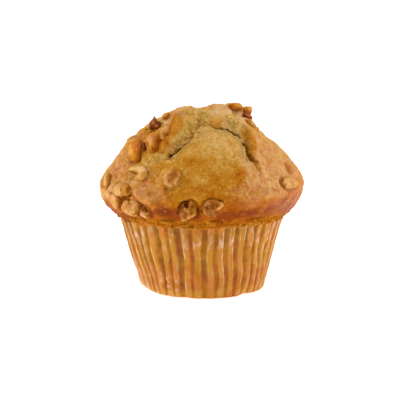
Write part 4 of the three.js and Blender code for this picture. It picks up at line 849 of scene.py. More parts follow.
    # browned faces beside the crack that are crust, not crumb
    wall = np.clip((s - 2.0 * smooth(148, 138, q[:, 1])) / 1.0, 0, 1) * (1 - smooth(0.85 * ridge, 1.1 * ridge, s)) * smooth(237, 243, q[:, 0]) * smooth(126, 134, q[:, 1]) * facing
    crusty = np.maximum(wall, np.maximum(blob(q, 217, 123.5, 9, 4.5, 15, 0.8), 0.7 * blob(q, 169.5, 147.5, 6, 4.5, -35, 0.8)) * facing)
    torn = np.clip(torn * (1 - 0.85 * crusty), 0, 1)

    # ---- crumb: pores and grains
    wob = 0.6 * np.stack([noise(p0, 1.5, 51), noise(p0, 1.5, 52), noise(p0, 1.5, 53)], 1)
    d1, d2, who = cells(p0 + wob, 2.2, 61)
    e1, e2, _ = cells(p0, 1.1, 62)
    pore = smooth(0.45, 0.12, d1) * (who > 0.4)
    h += torn * (-0.42 * pore - 0.18 * smooth(0.4, 0.1, e1) + 0.30 * noise(p0, 1.7, 63) + 0.30 * noise(p0, 0.8, 64))
    # crust grain: fine everywhere on the crown, coarser and pitted on the dry flanks
    rough = np.clip(
        (facing * (
            1.0 * blob(q, 250, 190, 34, 14, -8, 1.4) + 1.0 * blob(q, 146, 182, 24, 20, 30, 1.4) + 0.7 * blob(q, 120, 172, 16, 14, 0, 1.4)
            + 0.6 * blob(q, 275, 165, 18, 26, -30, 1.5) + 0.5 * blob(q, 240, 158, 20, 12, 20, 1.5)
        ) + (1 - facing) * smooth(-0.2, 0.5, noise(p0, 15, 107))) * smooth(2.5, 5.0, z - lipz), 0, 1,
    )
    g1 = noise(p0, 1.25, 71)
    pit = smooth(0.1, 0.45, noise(p0, 1.9, 73)) * smooth(-0.1, 0.3, noise(p0, 6.0, 74))
    h += crown * (1 - torn) * (0.28 * rough * noise(p0, 2.6, 75) + (0.09 + 0.09 * rough) * g1 + (0.06 + 0.06 * rough) * noise(p0, 0.7, 72) - 0.20 * rough * pit)

    # ---- crumbly lip over the rim
    band = bell((z - lipz - 0.9) / 1.2) * crown
    h += band * (0.35 * noise(p0, 2.6, 81) + 0.45 * noise(p0, 1.15, 82) - 0.05)
    lip_gap = band * smooth(0.1, 0.5, -noise(p0, 1.6, 83))
    h -= 0.5 * lip_gap
    seam = bell((z - lipz - 2.6 - 0.9 * noise(p0, 6, 84)) / 0.55) * smooth(0.0, 0.5, noise(p0, 7, 85) + 0.15) * crown * (0.3 + 0.7 * front)
    h -= 0.8 * seam

    # ---- walnuts: dough heaped against them, hollow under them, open here and there, with painted shade (pocket) in the open gaps
    pocket = np.zeros(len(p0))
    p1 = CENTRE + d * (base + h)[:, None]
    for k in list(WALNUTS) + list(CHIPS):
        LIFT.pop(k, None)
        centre, axes, half = nut_frame(k)
        close = np.linalg.norm(p0 - centre, axis=1) < 3.5
        LIFT[k] = float(np.mean(h[close])) if close.any() else 0.0
        NUTS[k] = nut_points(k)
    for k in WALNUTS:
        centre, axes, half = nut_frame(k)
        if half is None:
            half = np.array([3.0, 3.0, 0.4])
        pts = (NUTS[k][0] - centre) @ axes.T
        off = (p1 - centre) @ axes.T
        m = (np.abs(off[:, 2]) < 7) & (np.hypot(off[:, 0], off[:, 1]) < 12)
        if not m.any():
            continue
        # the piece's outline, looking straight in, over 48 directions
        above = pts[:, 2] > -0.35 * half[2]
        ang = np.floor((np.arctan2(pts[:, 1], pts[:, 0]) / (2 * math.pi) % 1) * 48).astype(int) % 48
        rad = np.hypot(pts[:, 0], pts[:, 1])
        outline = np.zeros(48)
        np.maximum.at(outline, ang[above], rad[above])
        o = off[m]
        a = (np.arctan2(o[:, 1], o[:, 0]) / (2 * math.pi) % 1) * 48 - 0.5
        i0 = np.floor(a).astype(int) % 48
        f = a - np.floor(a)
        edge = outline[i0] * (1 - f) + outline[(i0 + 1) % 48] * f
        gap = np.hypot(o[:, 0], o[:, 1]) - edge  # mm outside the outline
        theta = np.degrees(np.arctan2(o @ (axes @ EAST(axes)[1]), o @ (axes @ EAST(axes)[0])))
        gapside = gap_share(k, theta, 14 * noise(o + 31 * k, 2.0, 90 + k))
        heap = NUT_HEAP.get(k, 1.0)
        if k in SHAPES:
            # under the piece the dough lies below its plane; beside it the dough climbs to its edge or leaves a gap
            uneven = noise(o + 13 * k, 2.2, 190 + k) * (1 - gapside) * (0.3 if k <= 2 else 1.0)
            inside = 1 - smooth(-1.5, -0.5, gap + 0.6 * uneven)
            oz = o[:, 2]
            top = 0.55 - RAISE.get(k, 0.0) + 0.45 * uneven
            edge_z = np.where(oz < top, heap * np.clip(top - oz, 0, 1.8), -np.clip(oz - top, 0, 3))
            h[m] += inside * np.minimum(0, -1.1 - oz) + (1 - inside) * (
                edge_z * bell(np.clip(gap, 0, None) / 1.3) * (1 - gapside) - 1.5 * gapside * bell((gap - 0.15) / 0.55)
            )
            # pocket: painted shade in the open gap beside the piece
            pocket[m] = np.maximum(pocket[m], bell((gap - 0.1) / 0.42) * gapside * 0.85)
        else:
            h[m] += -1.5 * (1 - smooth(-1.5, -0.5, gap)) + heap * bell((gap - 0.2) / 1.3) * (1 - 0.55 * gapside) - 1.6 * gapside * bell((gap - 0.15) / 0.5)
            # pocket: painted shade round the piece, most in its open gap
            pocket[m] = np.maximum(pocket[m], bell((gap - 0.15) / 0.6) * (0.12 + 0.88 * gapside))

    p = CENTRE + d * (base + h)[:, None]
    droop = bell((z - lipz - 0.2) / 0.8) * crown * smooth(-0.2, 0.5, noise(p0, 2.6, 86))
    p[:, 2] -= 0.8 * droop
    grow = 1 + 0.008 * droop
    p[:, 0] *= grow
    p[:, 1] *= grow

    # ---- where the crust is browned
    qz = z - lipz
    bake = 0.42 - 0.14 * smooth(48, 68, z)
    bake += 0.12 * fbm(p0, 12, 2, 101) + 0.06 * noise(p0, 4.0, 102) + 0.10 * noise(p0, 2.6, 108) * (0.3 + 0.7 * rough)
    low = 6.0 + 2.0 * front + 1.0 * noise(p0, 9, 103) + 2.4 * smooth(0.3, 1.2, az) * front
    bake += 0.50 * smooth(low + 4.5, low - 2.0, qz) * (0.85 + 0.3 * noise(p0, 7, 104))
    bake -= 0.28 * smooth(3.4, 2.0, qz) * (0.4 + 0.6 * front)
    bake += facing * (
        0.12 * blob(q, 192, 160.5, 12, 5, -8, 1.4) + 0.10 * blob(q, 215, 188, 40, 20, 0, 1.6) + 0.10 * blob(q, 241, 175, 6, 8, 15, 1.3) - 0.14 * blob(q, 246, 164, 13, 9, 20, 1.3) + 0.10 * blob(q, 222, 202, 22, 6, 0, 1.3) + 0.20 * blob(q, 226, 216, 10, 5, -8, 1.2) + 0.06 * blob(q, 178, 214, 14, 6, 0, 1.4)
        + 0.22 * blob(q, 161, 211.5, 10, 4.5, 0, 1.0) + 0.22 * blob(q, 287, 198, 14, 9, -20, 1.4) + 0.10 * blob(q, 218, 122, 10, 4, 20, 1.2) + 0.05 * blob(q, 178, 124, 5, 13, 12, 1.2) + 0.30 * stroke(q, [(190, 114.5), (181, 113.5), (175, 117), (172.8, 127), (169.5, 137), (165, 146)], 0.95)
        + 0.12 * blob(q, 262, 212, 34, 6, -12, 1.2)
        + 0.16 * blob(q, 150, 140, 12, 18, 10, 1.3) + 0.14 * blob(q, 165, 200, 14, 9, 0, 1.4)
        - 0.12 * blob(q, 212, 142, 24, 13, 10, 1.6) - 0.05 * blob(q, 268, 160, 17, 22, -30, 1.5) + 0.08 * blob(q, 282, 204, 14, 6, -22, 1.3) - 0.14 * blob(q, 192, 109, 16, 5, 0, 1.2)
        - 0.26 * blob(q, 229, 116, 13, 9, 20, 1.2) + 0.04 * blob(q, 152, 192, 14, 12, 0, 1.5) + 0.08 * blob(q, 118, 168, 12, 12, 0, 1.4)
        - 0.28 * blob(q, 215, 121, 9, 6, 20, 1.2) - 0.14 * blob(q, 236, 124, 8, 7, 40, 1.2) - 0.10 * blob(q, 179, 126, 4, 10, 12, 1.0) + 0.10 * blob(q, 262, 150, 8, 14, -25, 1.4)
        + 0.14 * blob(q, 123, 200.5, 6, 4.5, 0, 1.0) + 0.10 * blob(q, 140, 207, 12, 8, 20, 1.2) - 0.14 * blob(q, 276, 190, 9, 7, 0, 1.2)
        - 0.04 * wall + 0.10 * blob(q, 239.5, 177, 5, 8, 15, 0.9) - 0.06 * blob(q, 243, 166, 8, 5, 0, 1.2) + 0.07 * blob(q, 243, 204, 12, 6, -8, 1.3) - 0.14 * blob(q, 136, 218.5, 5, 2.5, 0, 1.2) + 0.12 * stroke(q, [(176, 117), (173, 128), (169.5, 137)], 0.7) - 0.10 * blob(q, 217, 121, 9, 4, 15, 1.0)
        - 0.12 * blob(q, 234, 121, 7, 4, 35, 1.2) + 0.22 * stroke(q, [(286, 163), (288.6, 168), (290.4, 174)], 0.6) + 0.12 * blob(q, 215, 121, 6, 4.5, 20, 0.9) - 0.10 * blob(q, 226, 118, 12, 9, 10, 1.2) - 0.20 * blob(q, 165, 120, 6, 5, 0, 1.2) + 0.07 * blob(q, 232, 206, 14, 7, 0, 1.3) + 0.06 * blob(q, 186, 208, 10, 6, 0, 1.3) - 0.06 * blob(q, 266, 178, 12, 9, 0, 1.3) - 0.14 * blob(q, 105, 190, 6, 8, 0, 1.2) - 0.16 * blob(q, 201, 180, 8, 6, 0, 1.2) - 0.08 * blob(q, 227, 111, 8, 6, 0, 1.2) - 0.08 * blob(q, 262, 180, 8, 6, 0, 1.2) - 0.10 * blob(q, 167, 120, 4, 5, 0, 1.2) - 0.10 * blob(q, 129, 180, 6, 6, 0, 1.2) - 0.10 * blob(q, 170, 146, 7, 6, -30, 1.0) + 0.06 * blob(q, 252, 202, 14, 6, -8, 1.3) + 0.10 * blob(q, 294, 191, 10, 8, 0, 1.2) - 0.20 * blob(q, 222, 108, 8, 4, 0, 1.2) - 0.06 * blob(q, 224, 120, 8, 6, 0, 1.2)
        + 0.16 * blob(q, 128, 216, 8, 4, 20, 1.2) + 0.12 * blob(q, 298, 188, 8, 10, 0, 1.2) + 0.18 * noise(p0, 3.0, 112) * blob(q, 138, 160, 34, 44, 35, 1.0)
        - 0.08 * blob(q, 206, 118, 40, 10, 8, 1.4) - 0.10 * blob(q, 162, 121, 8, 7, 0, 1.2) - 0.14 * blob(q, 226, 107, 9, 5, 0, 1.2) - 0.10 * blob(q, 240, 131, 12, 7, 20, 1.2) - 0.12 * blob(q, 249, 157, 6, 7, -20, 1.2)
        + 0.08 * blob(q, 136, 215, 16, 6, 10, 1.3) + 0.10 * blob(q, 190, 216, 7, 5, 0, 1.2) - 0.08 * blob(q, 272, 214, 15, 6, -12, 1.3) + 0.08 * blob(q, 296, 184, 7, 11, 0, 1.2) - 0.06 * blob(q, 214, 178, 10, 7, 0, 1.2)
    )
    bake = np.clip(bake, 0, 1)
    orange = np.clip(
        1.0 * np.clip(noise(p0, 3.6, 113), 0, 1) * blob(q, 140, 158, 34, 44, 35, 1.0) * facing +
        0.9 * smooth(3.6, 2.2, qz) * (0.35 + 0.65 * front)
        + facing * (
            1.0 * blob(q, 177, 126, 6, 15, 14, 0.8) + 0.5 * blob(q, 217, 123, 10, 4, 15, 1.0) + 0.5 * blob(q, 192, 160.5, 12, 5, -8, 1.4)
            + 0.7 * blob(q, 169, 146, 6, 6, 30, 1.2) + 0.8 * wall + 0.6 * stroke(q, [(248, 130), (251, 140), (252.6, 150), (255.4, 160), (258, 168)], 0.9) + 1.0 * stroke(q, [(241, 125), (246, 132), (247.6, 138), (247.0, 146), (249.4, 154), (254, 162)], 1.4)
            + 0.9 * stroke(q, [(286, 163), (288.6, 168), (290.4, 174)], 0.7) + 0.5 * blob(q, 165, 203, 7, 6, 0, 1.2) + 0.7 * blob(q, 240, 174, 5.5, 9, 15, 0.9) + 0.45 * blob(q, 216, 121, 7, 5, 15, 0.9) + 0.45 * blob(q, 214, 192, 32, 16, 0, 1.6)
            + 0.5 * blob(q, 163, 147, 10, 10, 0, 1.4) + 0.5 * blob(q, 147, 134, 5, 5, 0, 1.2)
        ),
        0, 1,
    )
    # pink: pale pinkish patches on the front's flanks and lumps and all over the sides and back: partly dry crust,
    # partly painted sheen of the side and overhead lamps
    pink = np.clip(facing * (
        0.8 * blob(q, 147, 190, 17, 16, 0, 1.5) + 1.0 * blob(q, 266, 163, 20, 30, -30, 1.2) + 0.9 * blob(q, 294, 180, 12, 24, 0, 1.2) + 0.8 * blob(q, 277, 189, 10, 8, 0, 1.2) + 0.6 * blob(q, 236, 124, 8, 7, 40, 1.2) + 1.0 * blob(q, 117, 170, 12, 19, 20, 1.4) + 0.45 * blob(q, 252, 190, 22, 8, -10, 1.4) + 0.7 * blob(q, 250, 168, 10, 13, 15, 1.2) + 0.5 * blob(q, 226, 117, 10, 8, 0, 1.2)
        + 0.9 * blob(q, 229, 116, 15, 10, 20, 1.2) + 0.95 * blob(q, 190, 110, 18, 7, 0, 1.2) + 0.6 * blob(q, 263, 188, 15, 11, -10, 1.2) + 1.0 * blob(q, 105, 189, 7, 9, 0, 1.2) + 0.4 * blob(q, 252, 202, 14, 6, -8, 1.3) + 0.9 * blob(q, 226, 111, 9, 7, 0, 1.2) + 0.4 * blob(q, 167, 120, 4, 5, 0, 1.2) + 0.6 * blob(q, 136, 136, 8, 7, 0, 1.2) + 0.6 * blob(q, 284, 203, 18, 6, -15, 1.4) + 0.25 * blob(q, 222, 140, 22, 8, 20, 1.5)
    ) + (1 - facing) * (0.24 + 0.4 * smooth(-0.1, 0.4, noise(p0, 16, 105))), 0, 1)
    # painted shade (the deep attribute): darkens the slit, the torn hollow, the crumb's pores, the foot of the browned
    # wall, the gaps beside the pieces, the lip's crevices, the seam, the pits and the SHADES lines
    painted_shade = np.clip(np.maximum(np.maximum(in_slit, 0.28 * in_hollow * (1 + 0.8 * noise(p0, 3.2, 48))), np.maximum(0.85 * pocket, np.maximum(0.38 * lip_gap, 0.7 * seam))) + 0.25 * torn * pore + 0.46 * wall * (1 - smooth(0.3, 0.9, s / np.maximum(ridge, 0.5))) + 0.3 * facing * stroke(q, [(242.5, 127.5), (246, 132), (247.4, 138), (246.6, 144)], 0.55), 0, 1)
    pink = np.clip(pink * (1 + 1.0 * noise(p0, 3.2, 110)), 0, 1) * (1 - 0.9 * facing * blob(q, 216.5, 121.5, 8.5, 5, 15, 0.8)) * (1 - 0.6 * facing * blob(q, 155, 179, 8, 9, 0, 1.0)) * (1 - 0.8 * facing * blob(q, 240, 175, 5.5, 9, 15, 0.8)) * (1 - np.clip(1.4 * wall, 0, 1))
    painted_shade *= 1 - facing * np.maximum(np.maximum(0.8 * blob(q, 217, 121.5, 9, 5, 15, 0.9), 0.6 * blob(q, 186.5, 139.5, 6, 3, -50, 1.0)), 0.7 * stroke(q, [(249.4, 132), (251.6, 142), (252.8, 150), (254.6, 158), (257.4, 164), (258, 168)], 0.8))
    painted_shade *= 1 - 0.12 * facing * blob(q, 249, 156, 5, 8, -20, 1.0)
    painted_shade = np.maximum(painted_shade, 0.20 * rough * pit)
    for points, wide, much in SHADES:
        painted_shade = np.maximum(painted_shade, facing * much * stroke(q, points, wide))
    attrs = {"bake": bake, "torn": torn, "orange": orange, "pink": pink, "deep": painted_shade, "rough": rough}
    where = {"crumb": torn * (1 - in_slit), "lip": band * (1 - lip_gap), "edge": edge_crumb + 0.5 * bell((sb + 0.6) / 0.8) * smooth(0.4, 1.6, hollow2) * back, "crust": crown * (1 - torn) * smooth(3, 6, qz)}
    return mesh_object("cake_baked", p, faces, attrs), p, normals_of(p, faces), attrs, where


# Where a dark gap is left beside a piece: (direction in degrees from its right in the front view, half width, strength);
# and how high the dough is heaped against it (mm).
NUT_GAPS = {
    1: [(150, 60, 1.0), (205, 30, 0.8), (20, 60, 0.7), (-15, 30, 1.0), (-70, 45, 1.0)], 2: [(165, 35, 0.45), (110, 45, 0.5), (60, 25, 0.35)], 3: [(190, 35, 0.4), (-30, 20, 0.4)],
    4: [(-100, 30, 0.2), (170, 22, 0.45)], 5: [(-105, 16, 0.45), (30, 18, 0.3)], 6: [(90, 1, 0.0)], 7: [(90, 1, 0.0)],
    8: [(-85, 45, 0.8)], 9: [(90, 1, 0.0)], 10: [(165, 24, 0.28), (-40, 20, 0.15)], 11: [(55, 35, 0.35)], 12: [(-20, 20, 0.2), (-125, 20, 0.3)],
    13: [(-10, 24, 0.2), (150, 20, 0.2)], 14: [(-60, 24, 0.25)], 15: [(-75, 50, 0.6), (10, 30, 0.4)], 16: [(-60, 40, 0.3)],
    17: [(-90, 1, 0.0)], 18: [(200, 40, 0.6)], 19: [(-110, 40, 0.35)], 20: [(180, 30, 0.25)],
}
NUT_HEAP = {1: 0.3, 2: 0.6, 3: 0.7, 5: 0.8, 6: 0.15, 7: 0.1, 8: 0.9, 9: 0.6, 10: 0.9, 11: 0.9, 12: 0.4, 13: 0.9, 14: 0.9, 15: 0.15, 16: 0.7, 17: 0.9, 18: 0.3, 19: 0.3, 20: 0.8}


NUTS = {}


# ------------------------------------------------------------------------------------------------- the paper case
# Where the crests of the flutes at the front lie, in degrees, low, middle and high on the wall: they lean and sway.
CREST_LEAN = {
    -7: (-55.8, -57.9, -61.8), -6: (-50.0, -53.2, -52.3), -5: (-44.2, -46.5, -46.2), -4: (-37.3, -38.7, -38.1),
    -3: (-28.2, -27.5, -27.7), -2: (-21.0, -20.9, -21.5), -1: (-11.8, -10.9, -12.9), 0: (-3.0, -2.8, -3.3),
    1: (7.3, 5.3, 6.2), 2: (17.1, 13.4, 13.9), 3: (24.1, 22.1, 21.1), 4: (33.6, 29.6, 28.9), 5: (41.2, 39.2, 36.6),
    6: (50.2, 44.7, 43.5), 7: (56.7, 52.6, 52.2), 8: (65.4, 60.7, 60.9),
}
CREST_Z = (8.5, 17.0, 25.0)


def crest_angles(z):
    """The azimuth of every crest at heights z: (len(z), PLEATS + 1), degrees, closing on itself."""
    out = np.zeros((len(z), PLEATS + 1))
    for k in range(PLEATS):
        n = k if k <= 8 else (k - PLEATS if k - PLEATS >= -7 else None)
        regular = PLEAT_PHASE + k * 360 / PLEATS
        if n is not None:
            t = np.interp(z, CREST_Z, CREST_LEAN[n]) + (360 if k > 8 else 0)
        else:
            t = regular + 1.2 * math.sin(k * 2.4 + 0.9) + 1.3 * np.sin(z * 0.13 + k * 1.7)
        out[:, k] = t + 0.22 * np.sin(z * 0.5 + k * 2.1) + 0.12 * np.sin(z * 1.1 + k * 3.7)
    out[:, PLEATS] = out[:, 0] + 360
    return out


def make_case(per_pleat, rows):
    cols = PLEATS * per_pleat
    wall = np.linspace(0, 1, rows)  # up the wall, from the corner of the base to the rim
    f = np.arange(per_pleat) / per_pleat
    f = (f - 0.07 * np.sin(4 * math.pi * f))[None, :]  # more columns in the flanks of the flutes
    zs = CASE_CORNER_Z + wall * (RIM_Z - CASE_CORNER_Z)
    crest = crest_angles(zs)
    az = np.radians((crest[:, :-1, None] * (1 - f[None]) + crest[:, 1:, None] * f[None]).reshape(rows, cols))
    z = zs[:, None] + (rim_z(az) + 0.05 - RIM_Z) * wall[:, None]
    phi = np.tile(f[0], PLEATS)[None, :]
    pleat = np.repeat(np.arange(PLEATS), per_pleat)[None, :]
    pos = np.stack([30 * np.sin(az), -30 * np.cos(az), z], -1).reshape(-1, 3)
    n1 = noise(pos * [1, 1, 0.4], 5.0, 201).reshape(rows, cols)
    n2 = noise(pos, 2.2, 202).reshape(rows, cols)
    n3 = noise(pos, 1.1, 203).reshape(rows, cols)
    n4 = noise(pos * [1, 1, 0.6], 9.0, 204).reshape(rows, cols)
    # crest: a flat band, narrowing downwards; flank; valley
    e = np.minimum(phi, 1 - phi) * 2  # 0 on a crest, 1 in the middle of a valley
    own = np.sin(pleat * 1.9 + 0.4) * np.where(phi < 0.5, 1, 1)
    flat = np.clip(0.44 + 0.10 * smooth(0.55, 0.92, wall[:, None]) + 0.08 * smooth(0.3, 0.0, wall[:, None]) + 0.06 * own + 0.16 * n1 + 0.05 * n2, 0.24, 0.7)
    run = 0.24 + 0.07 * np.sin(pleat * 3.1)
    up = 1 - smooth(flat, flat + run, e)
    bead = bell((e - flat + 0.02) / 0.07)  # the fold stands up a little along the edge of the crest
    depth = (0.8 + 0.8 * wall[:, None]) * (0.88 + 0.24 * np.sin(pleat * 2.7 + 1.0) + 0.3 * n1)
    pressed = 0.25 * bell((e - 1) / 0.4) * (0.4 + 0.9 * n4)  # valleys pressed out by the cake
    r = case_crest_r(z) - 0.38 - depth * (1 - up) + 0.15 * bead * (0.5 + 0.8 * n1) - 0.16 * bell(e / (0.6 * flat)) * wall[:, None] + pressed + 0.2 * n1 + 0.15 * n2 + 0.07 * n3
    r -= 0.3 * np.clip(np.sin(az), 0, 1) * smooth(12, 22, z) + 0.7 * np.clip(-np.sin(az), 0, 1) ** 2 * bell((z - 5.5) / 4)
    r -= 0.10 * bell((z - RIM_Z * 0.5) / 9)
    r += 0.35 * smooth(5.0, 1.4, z) * (1 - up)  # the folds open out towards the base
    # the corner of the base is rounded, more at some places than others
    az0 = az[0]
    turn = (np.degrees(az0) + 180) % 360 - 180
    tuck = np.interp(turn, [-180, -90, -68, -57, -45, -30, -21, -13, -8, 0, 10, 20, 33, 38, 43, 47, 52, 60, 90, 180], [0.7, 1.0, 1.7, 1.3, 0.8, 0.5, 0.9, 1.3, 0.6, 0.5, 0.3, 0.15, 0.15, 0.8, 1.5, 0.9, 0.3, 0.1, 0.2, 0.7]) + 0.12 * n4[0]
    r -= tuck[None, :] * 0.35 * np.clip(1 - (z - CASE_CORNER_Z) / 3.2, 0, 1) ** 2
    wallp = np.stack([r * np.sin(az), -r * np.cos(az), z], -1)
    rings, hts, beads = [], [], []
    r_low = r[0]
    for a, zz in ((0.22, 0.85), (0.55, 0.40), (1.0, 0.12)):
        rr = r_low - a * tuck
        rings.append(np.stack([rr * np.sin(az0), -rr * np.cos(az0), np.full(cols, zz) + 0.05 * n2[0]], -1))
        hts.append(up[0])
    for rr, zz in ((CASE_BASE_R - 1.2, 0.0), (18.0, 0.03), (10.0, 0.05), (3.0, 0.05)):
        shape = rr * (r_low / r_low.mean()) ** (0.8 if rr > 20 else 0.2)
        rings.append(np.stack([shape * np.sin(az0), -shape * np.cos(az0), np.full(cols, zz)], -1))
        hts.append(0.4 + 0 * up[0])
    outer = np.concatenate([np.array(rings[::-1]), wallp])
    heights = np.concatenate([np.array(hts[::-1]), up])
    # fold lines painted paler, stronger on each crest's outer edge, the one facing a side lamp: partly the paper's own
    # pale fold, partly painted highlight
    turned = (np.degrees(az) + 180) % 360 - 180
    left = smooth(6, -6, np.where(np.abs(turned) < 90, turned, 180 - turned))
    outer_edge = np.where(phi > 0.5, left, 1 - left)
    folds = np.concatenate([np.zeros((len(rings), cols)), bead * (0.25 + 0.75 * outer_edge)])
    # the inner face of the paper
    inner = outer[::-1].copy()
    flat_r = np.hypot(inner[..., 0], inner[..., 1])
    keep = np.maximum(flat_r - 0.14, 0.5) / np.maximum(flat_r, 1e-6)
    inner[..., 0] *= keep
    inner[..., 1] *= keep
    inner[..., 2] = np.where(inner[..., 2] < CASE_CORNER_Z, inner[..., 2] + 0.12, inner[..., 2])
    pts = np.concatenate([outer, inner]).reshape(-1, 3)
    hs = np.concatenate([heights, heights[::-1]]).reshape(-1)
    fo = np.concatenate([folds, folds[::-1]]).reshape(-1)
    quads = grid_faces(len(outer) * 2, cols)
    total = len(outer) * 2
    first = len(pts)
    pts = np.concatenate([pts, [[0, 0, 0.05], [0, 0, 0.2]]])
    hs, fo = np.concatenate([hs, [0.4, 0.4]]), np.concatenate([fo, [0, 0]])
    c = np.arange(cols)
    nxt = (c + 1) % cols
    fans = np.concatenate([
        np.stack([np.full(cols, first), nxt, c], -1),
        np.stack([np.full(cols, first + 1), (total - 1) * cols + c, (total - 1) * cols + nxt], -1),
    ])
    tris = np.concatenate([quads[:, [0, 1, 2]], quads[:, [0, 2, 3]], fans])
    return mesh_object("case_paper", pts, tris, {"crest": hs, "fold_line_and_highlight": fo})


# ------------------------------------------------------------------------------------------------- loose bits
def make_grains(p, n, attrs, where, share):
    """Crumbs standing out of the torn dough and its edges, along the lip and here and there in the crust, as one mesh.
    Each carries the looks of the spot it grows from."""
    rng = np.random.default_rng(4242)
    small, big = geodesic(1), geodesic(2)
    pts, fcs, out = [], [], {k: [] for k in attrs}
    base = 0

    def grain(i, size, flat, change):
        nonlocal base
        v, faces = big if size > 0.42 else small
        a = rng.normal(size=(3, 3))
        turn, _ = np.linalg.qr(a)
        q = v * (1 + rng.uniform(-0.22, 0.22, len(v)))[:, None] * (rng.uniform(0.7, 1.25, 3) * size)
        q = q @ turn
        q -= (q @ n[i])[:, None] * n[i] * flat
        pts.append(q + p[i] - n[i] * size * 0.25)
        fcs.append(faces + base if np.linalg.det(turn) > 0 else faces[:, ::-1] + base)
        for k in attrs:
            out[k].append(np.full(len(v), min(1.0, max(0.0, change[k] if k in change else attrs[k][i]))))
        base += len(v)

    def pick(weight, count):
        w = weight / weight.sum()
        return rng.choice(len(w), int(count * share), p=w)

    # crumb grains keep part of the painted shade (deep) of the spot they grow from
    for i in pick(where["crumb"] ** 2, 1500):
        grain(i, 0.2 + 0.5 * rng.random() ** 2.2, 0.2, {"torn": 1.0, "rough": 0, "bake": rng.random(), "deep": 0.4 * attrs["deep"][i], "orange": 0, "pink": 0})
    for i in pick(where["edge"] ** 2, 420):
        grain(i, 0.2 + 0.35 * rng.random() ** 2, 0.2, {"torn": 0.55 + 0.3 * rng.random(), "deep": 0})
    for i in pick(where["lip"] ** 2, 900):
        grain(i, 0.25 + 0.45 * rng.random() ** 2, 0.35, {"bake": attrs["bake"][i] + rng.uniform(-0.25, 0.15), "deep": 0, "orange": 1.0})
    for i in pick(where["crust"], 420):
        grain(i, 0.2 + 0.25 * rng.random() ** 3, 0.55, {"bake": attrs["bake"][i] - rng.uniform(0, 0.35)})
    # the few bigger pale ones seen on the front
    seen = front_view(p) + 1000 * (p[:, 1] > 0)[:, None]
    for x, y, size in [(202, 187.3, 0.66), (206, 181.8, 0.6), (151, 183.5, 0.5), (240, 191, 0.4), (222, 171, 0.4), (267, 186, 0.45)]:
        grain(int(np.argmin(((seen - (x, y)) ** 2).sum(1))), size, 0.55, {"bake": 0.12, "orange": 0.5, "pink": 0, "torn": 0.1})
    return mesh_object("crumb_grains", np.concatenate(pts), np.concatenate(fcs), {k: np.concatenate(v) for k, v in out.items()})


# ------------------------------------------------------------------------------------------------- materials
def srgb(r, g, b):
    return tuple((c / 255 / 12.92 if c <= 10.3 else ((c / 255 + 0.055) / 1.055) ** 2.4) for c in (r, g, b)) + (1.0,)


class Mat:
    """A material and a few short calls for its nodes."""

    def __init__(self, name):
        self.m = bpy.data.materials.new(name)
        self.m.use_nodes = True
        self.t = self.m.node_tree
        self.t.nodes.clear()
        self.out = self.t.nodes.new("ShaderNodeOutputMaterial")
        self.b = self.t.nodes.new("ShaderNodeBsdfPrincipled")
        self.t.links.new(self.b.outputs[0], self.out.inputs[0])

    def node(self, kind, **settings):
        n = self.t.nodes.new(kind)
        for k, v in settings.items():
            setattr(n, k, v)
        return n

    def put(self, socket, value):
        if isinstance(value, bpy.types.NodeSocket):
            self.t.links.new(value, socket)
        else:
            socket.default_value = value

    def attr(self, name):
        return self.node("ShaderNodeAttribute", attribute_name=name, attribute_type="GEOMETRY").outputs["Fac"]

    def coords(self):
        c = self.node("ShaderNodeTexCoord").outputs["Object"]
        n = self.node("ShaderNodeVectorMath", operation="SCALE")
        self.put(n.inputs[0], c)
        n.inputs["Scale"].default_value = 1000.0  # the textures below are in millimetres
        return n.outputs[0]

    def noise(self, vec, size, detail=3.0, rough=0.5, distort=0.0):
        n = self.node("ShaderNodeTexNoise")
        self.put(n.inputs["Vector"], vec)
        n.inputs["Scale"].default_value = 1.0 / size
        n.inputs["Detail"].default_value = detail
        n.inputs["Roughness"].default_value = rough
        n.inputs["Distortion"].default_value = distort
        return n.outputs["Fac"]

    def voronoi(self, vec, size, feature="F1"):
        n = self.node("ShaderNodeTexVoronoi", feature=feature)
        self.put(n.inputs["Vector"], vec)
        n.inputs["Scale"].default_value = 1.0 / size
        return n.outputs["Distance"]

    def sum(self, *terms, clamp=False):
        v = terms[0]
        for i, t in enumerate(terms[1:]):
            v = self.op("ADD", v, t, clamp and i == len(terms) - 2)
        return v

    def op(self, op, a, b=None, clamp=False):
        n = self.node("ShaderNodeMath", operation=op, use_clamp=clamp)
        self.put(n.inputs[0], a)
        if b is not None:
            self.put(n.inputs[1], b)
        return n.outputs[0]

    def range(self, v, a, b, c=0.0, d=1.0):
        n = self.node("ShaderNodeMapRange")
        self.put(n.inputs["Value"], v)
        n.inputs["From Min"].default_value, n.inputs["From Max"].default_value = a, b
        n.inputs["To Min"].default_value, n.inputs["To Max"].default_value = c, d
        return n.outputs["Result"]

    def ramp(self, v, stops):
        n = self.node("ShaderNodeValToRGB")
        self.put(n.inputs[0], v)
        e = n.color_ramp.elements
        while len(e) < len(stops):
            e.new(0.5)
        for i, (at, col) in enumerate(stops):
            e[i].position = at
            e[i].color = col
        return n.outputs[0]

    def mix(self, f, a, b, blend="MIX"):
        n = self.node("ShaderNodeMix", data_type="RGBA", blend_type=blend)
        self.put(n.inputs[0], f)
        self.put(n.inputs[6], a)
        self.put(n.inputs[7], b)
        return n.outputs[2]

    def bump(self, height, strength, distance, normal=None):
        n = self.node("ShaderNodeBump")
        n.inputs["Strength"].default_value = strength
        n.inputs["Distance"].default_value = distance
        self.put(n.inputs["Height"], height)
        if normal is not None:
            self.put(n.inputs["Normal"], normal)
        return n.outputs[0]

    def soft(self, weight, radius, scale):
        self.b.inputs["Subsurface Weight"].default_value = weight
        self.b.inputs["Subsurface Radius"].default_value = radius
        self.b.inputs["Subsurface Scale"].default_value = scale


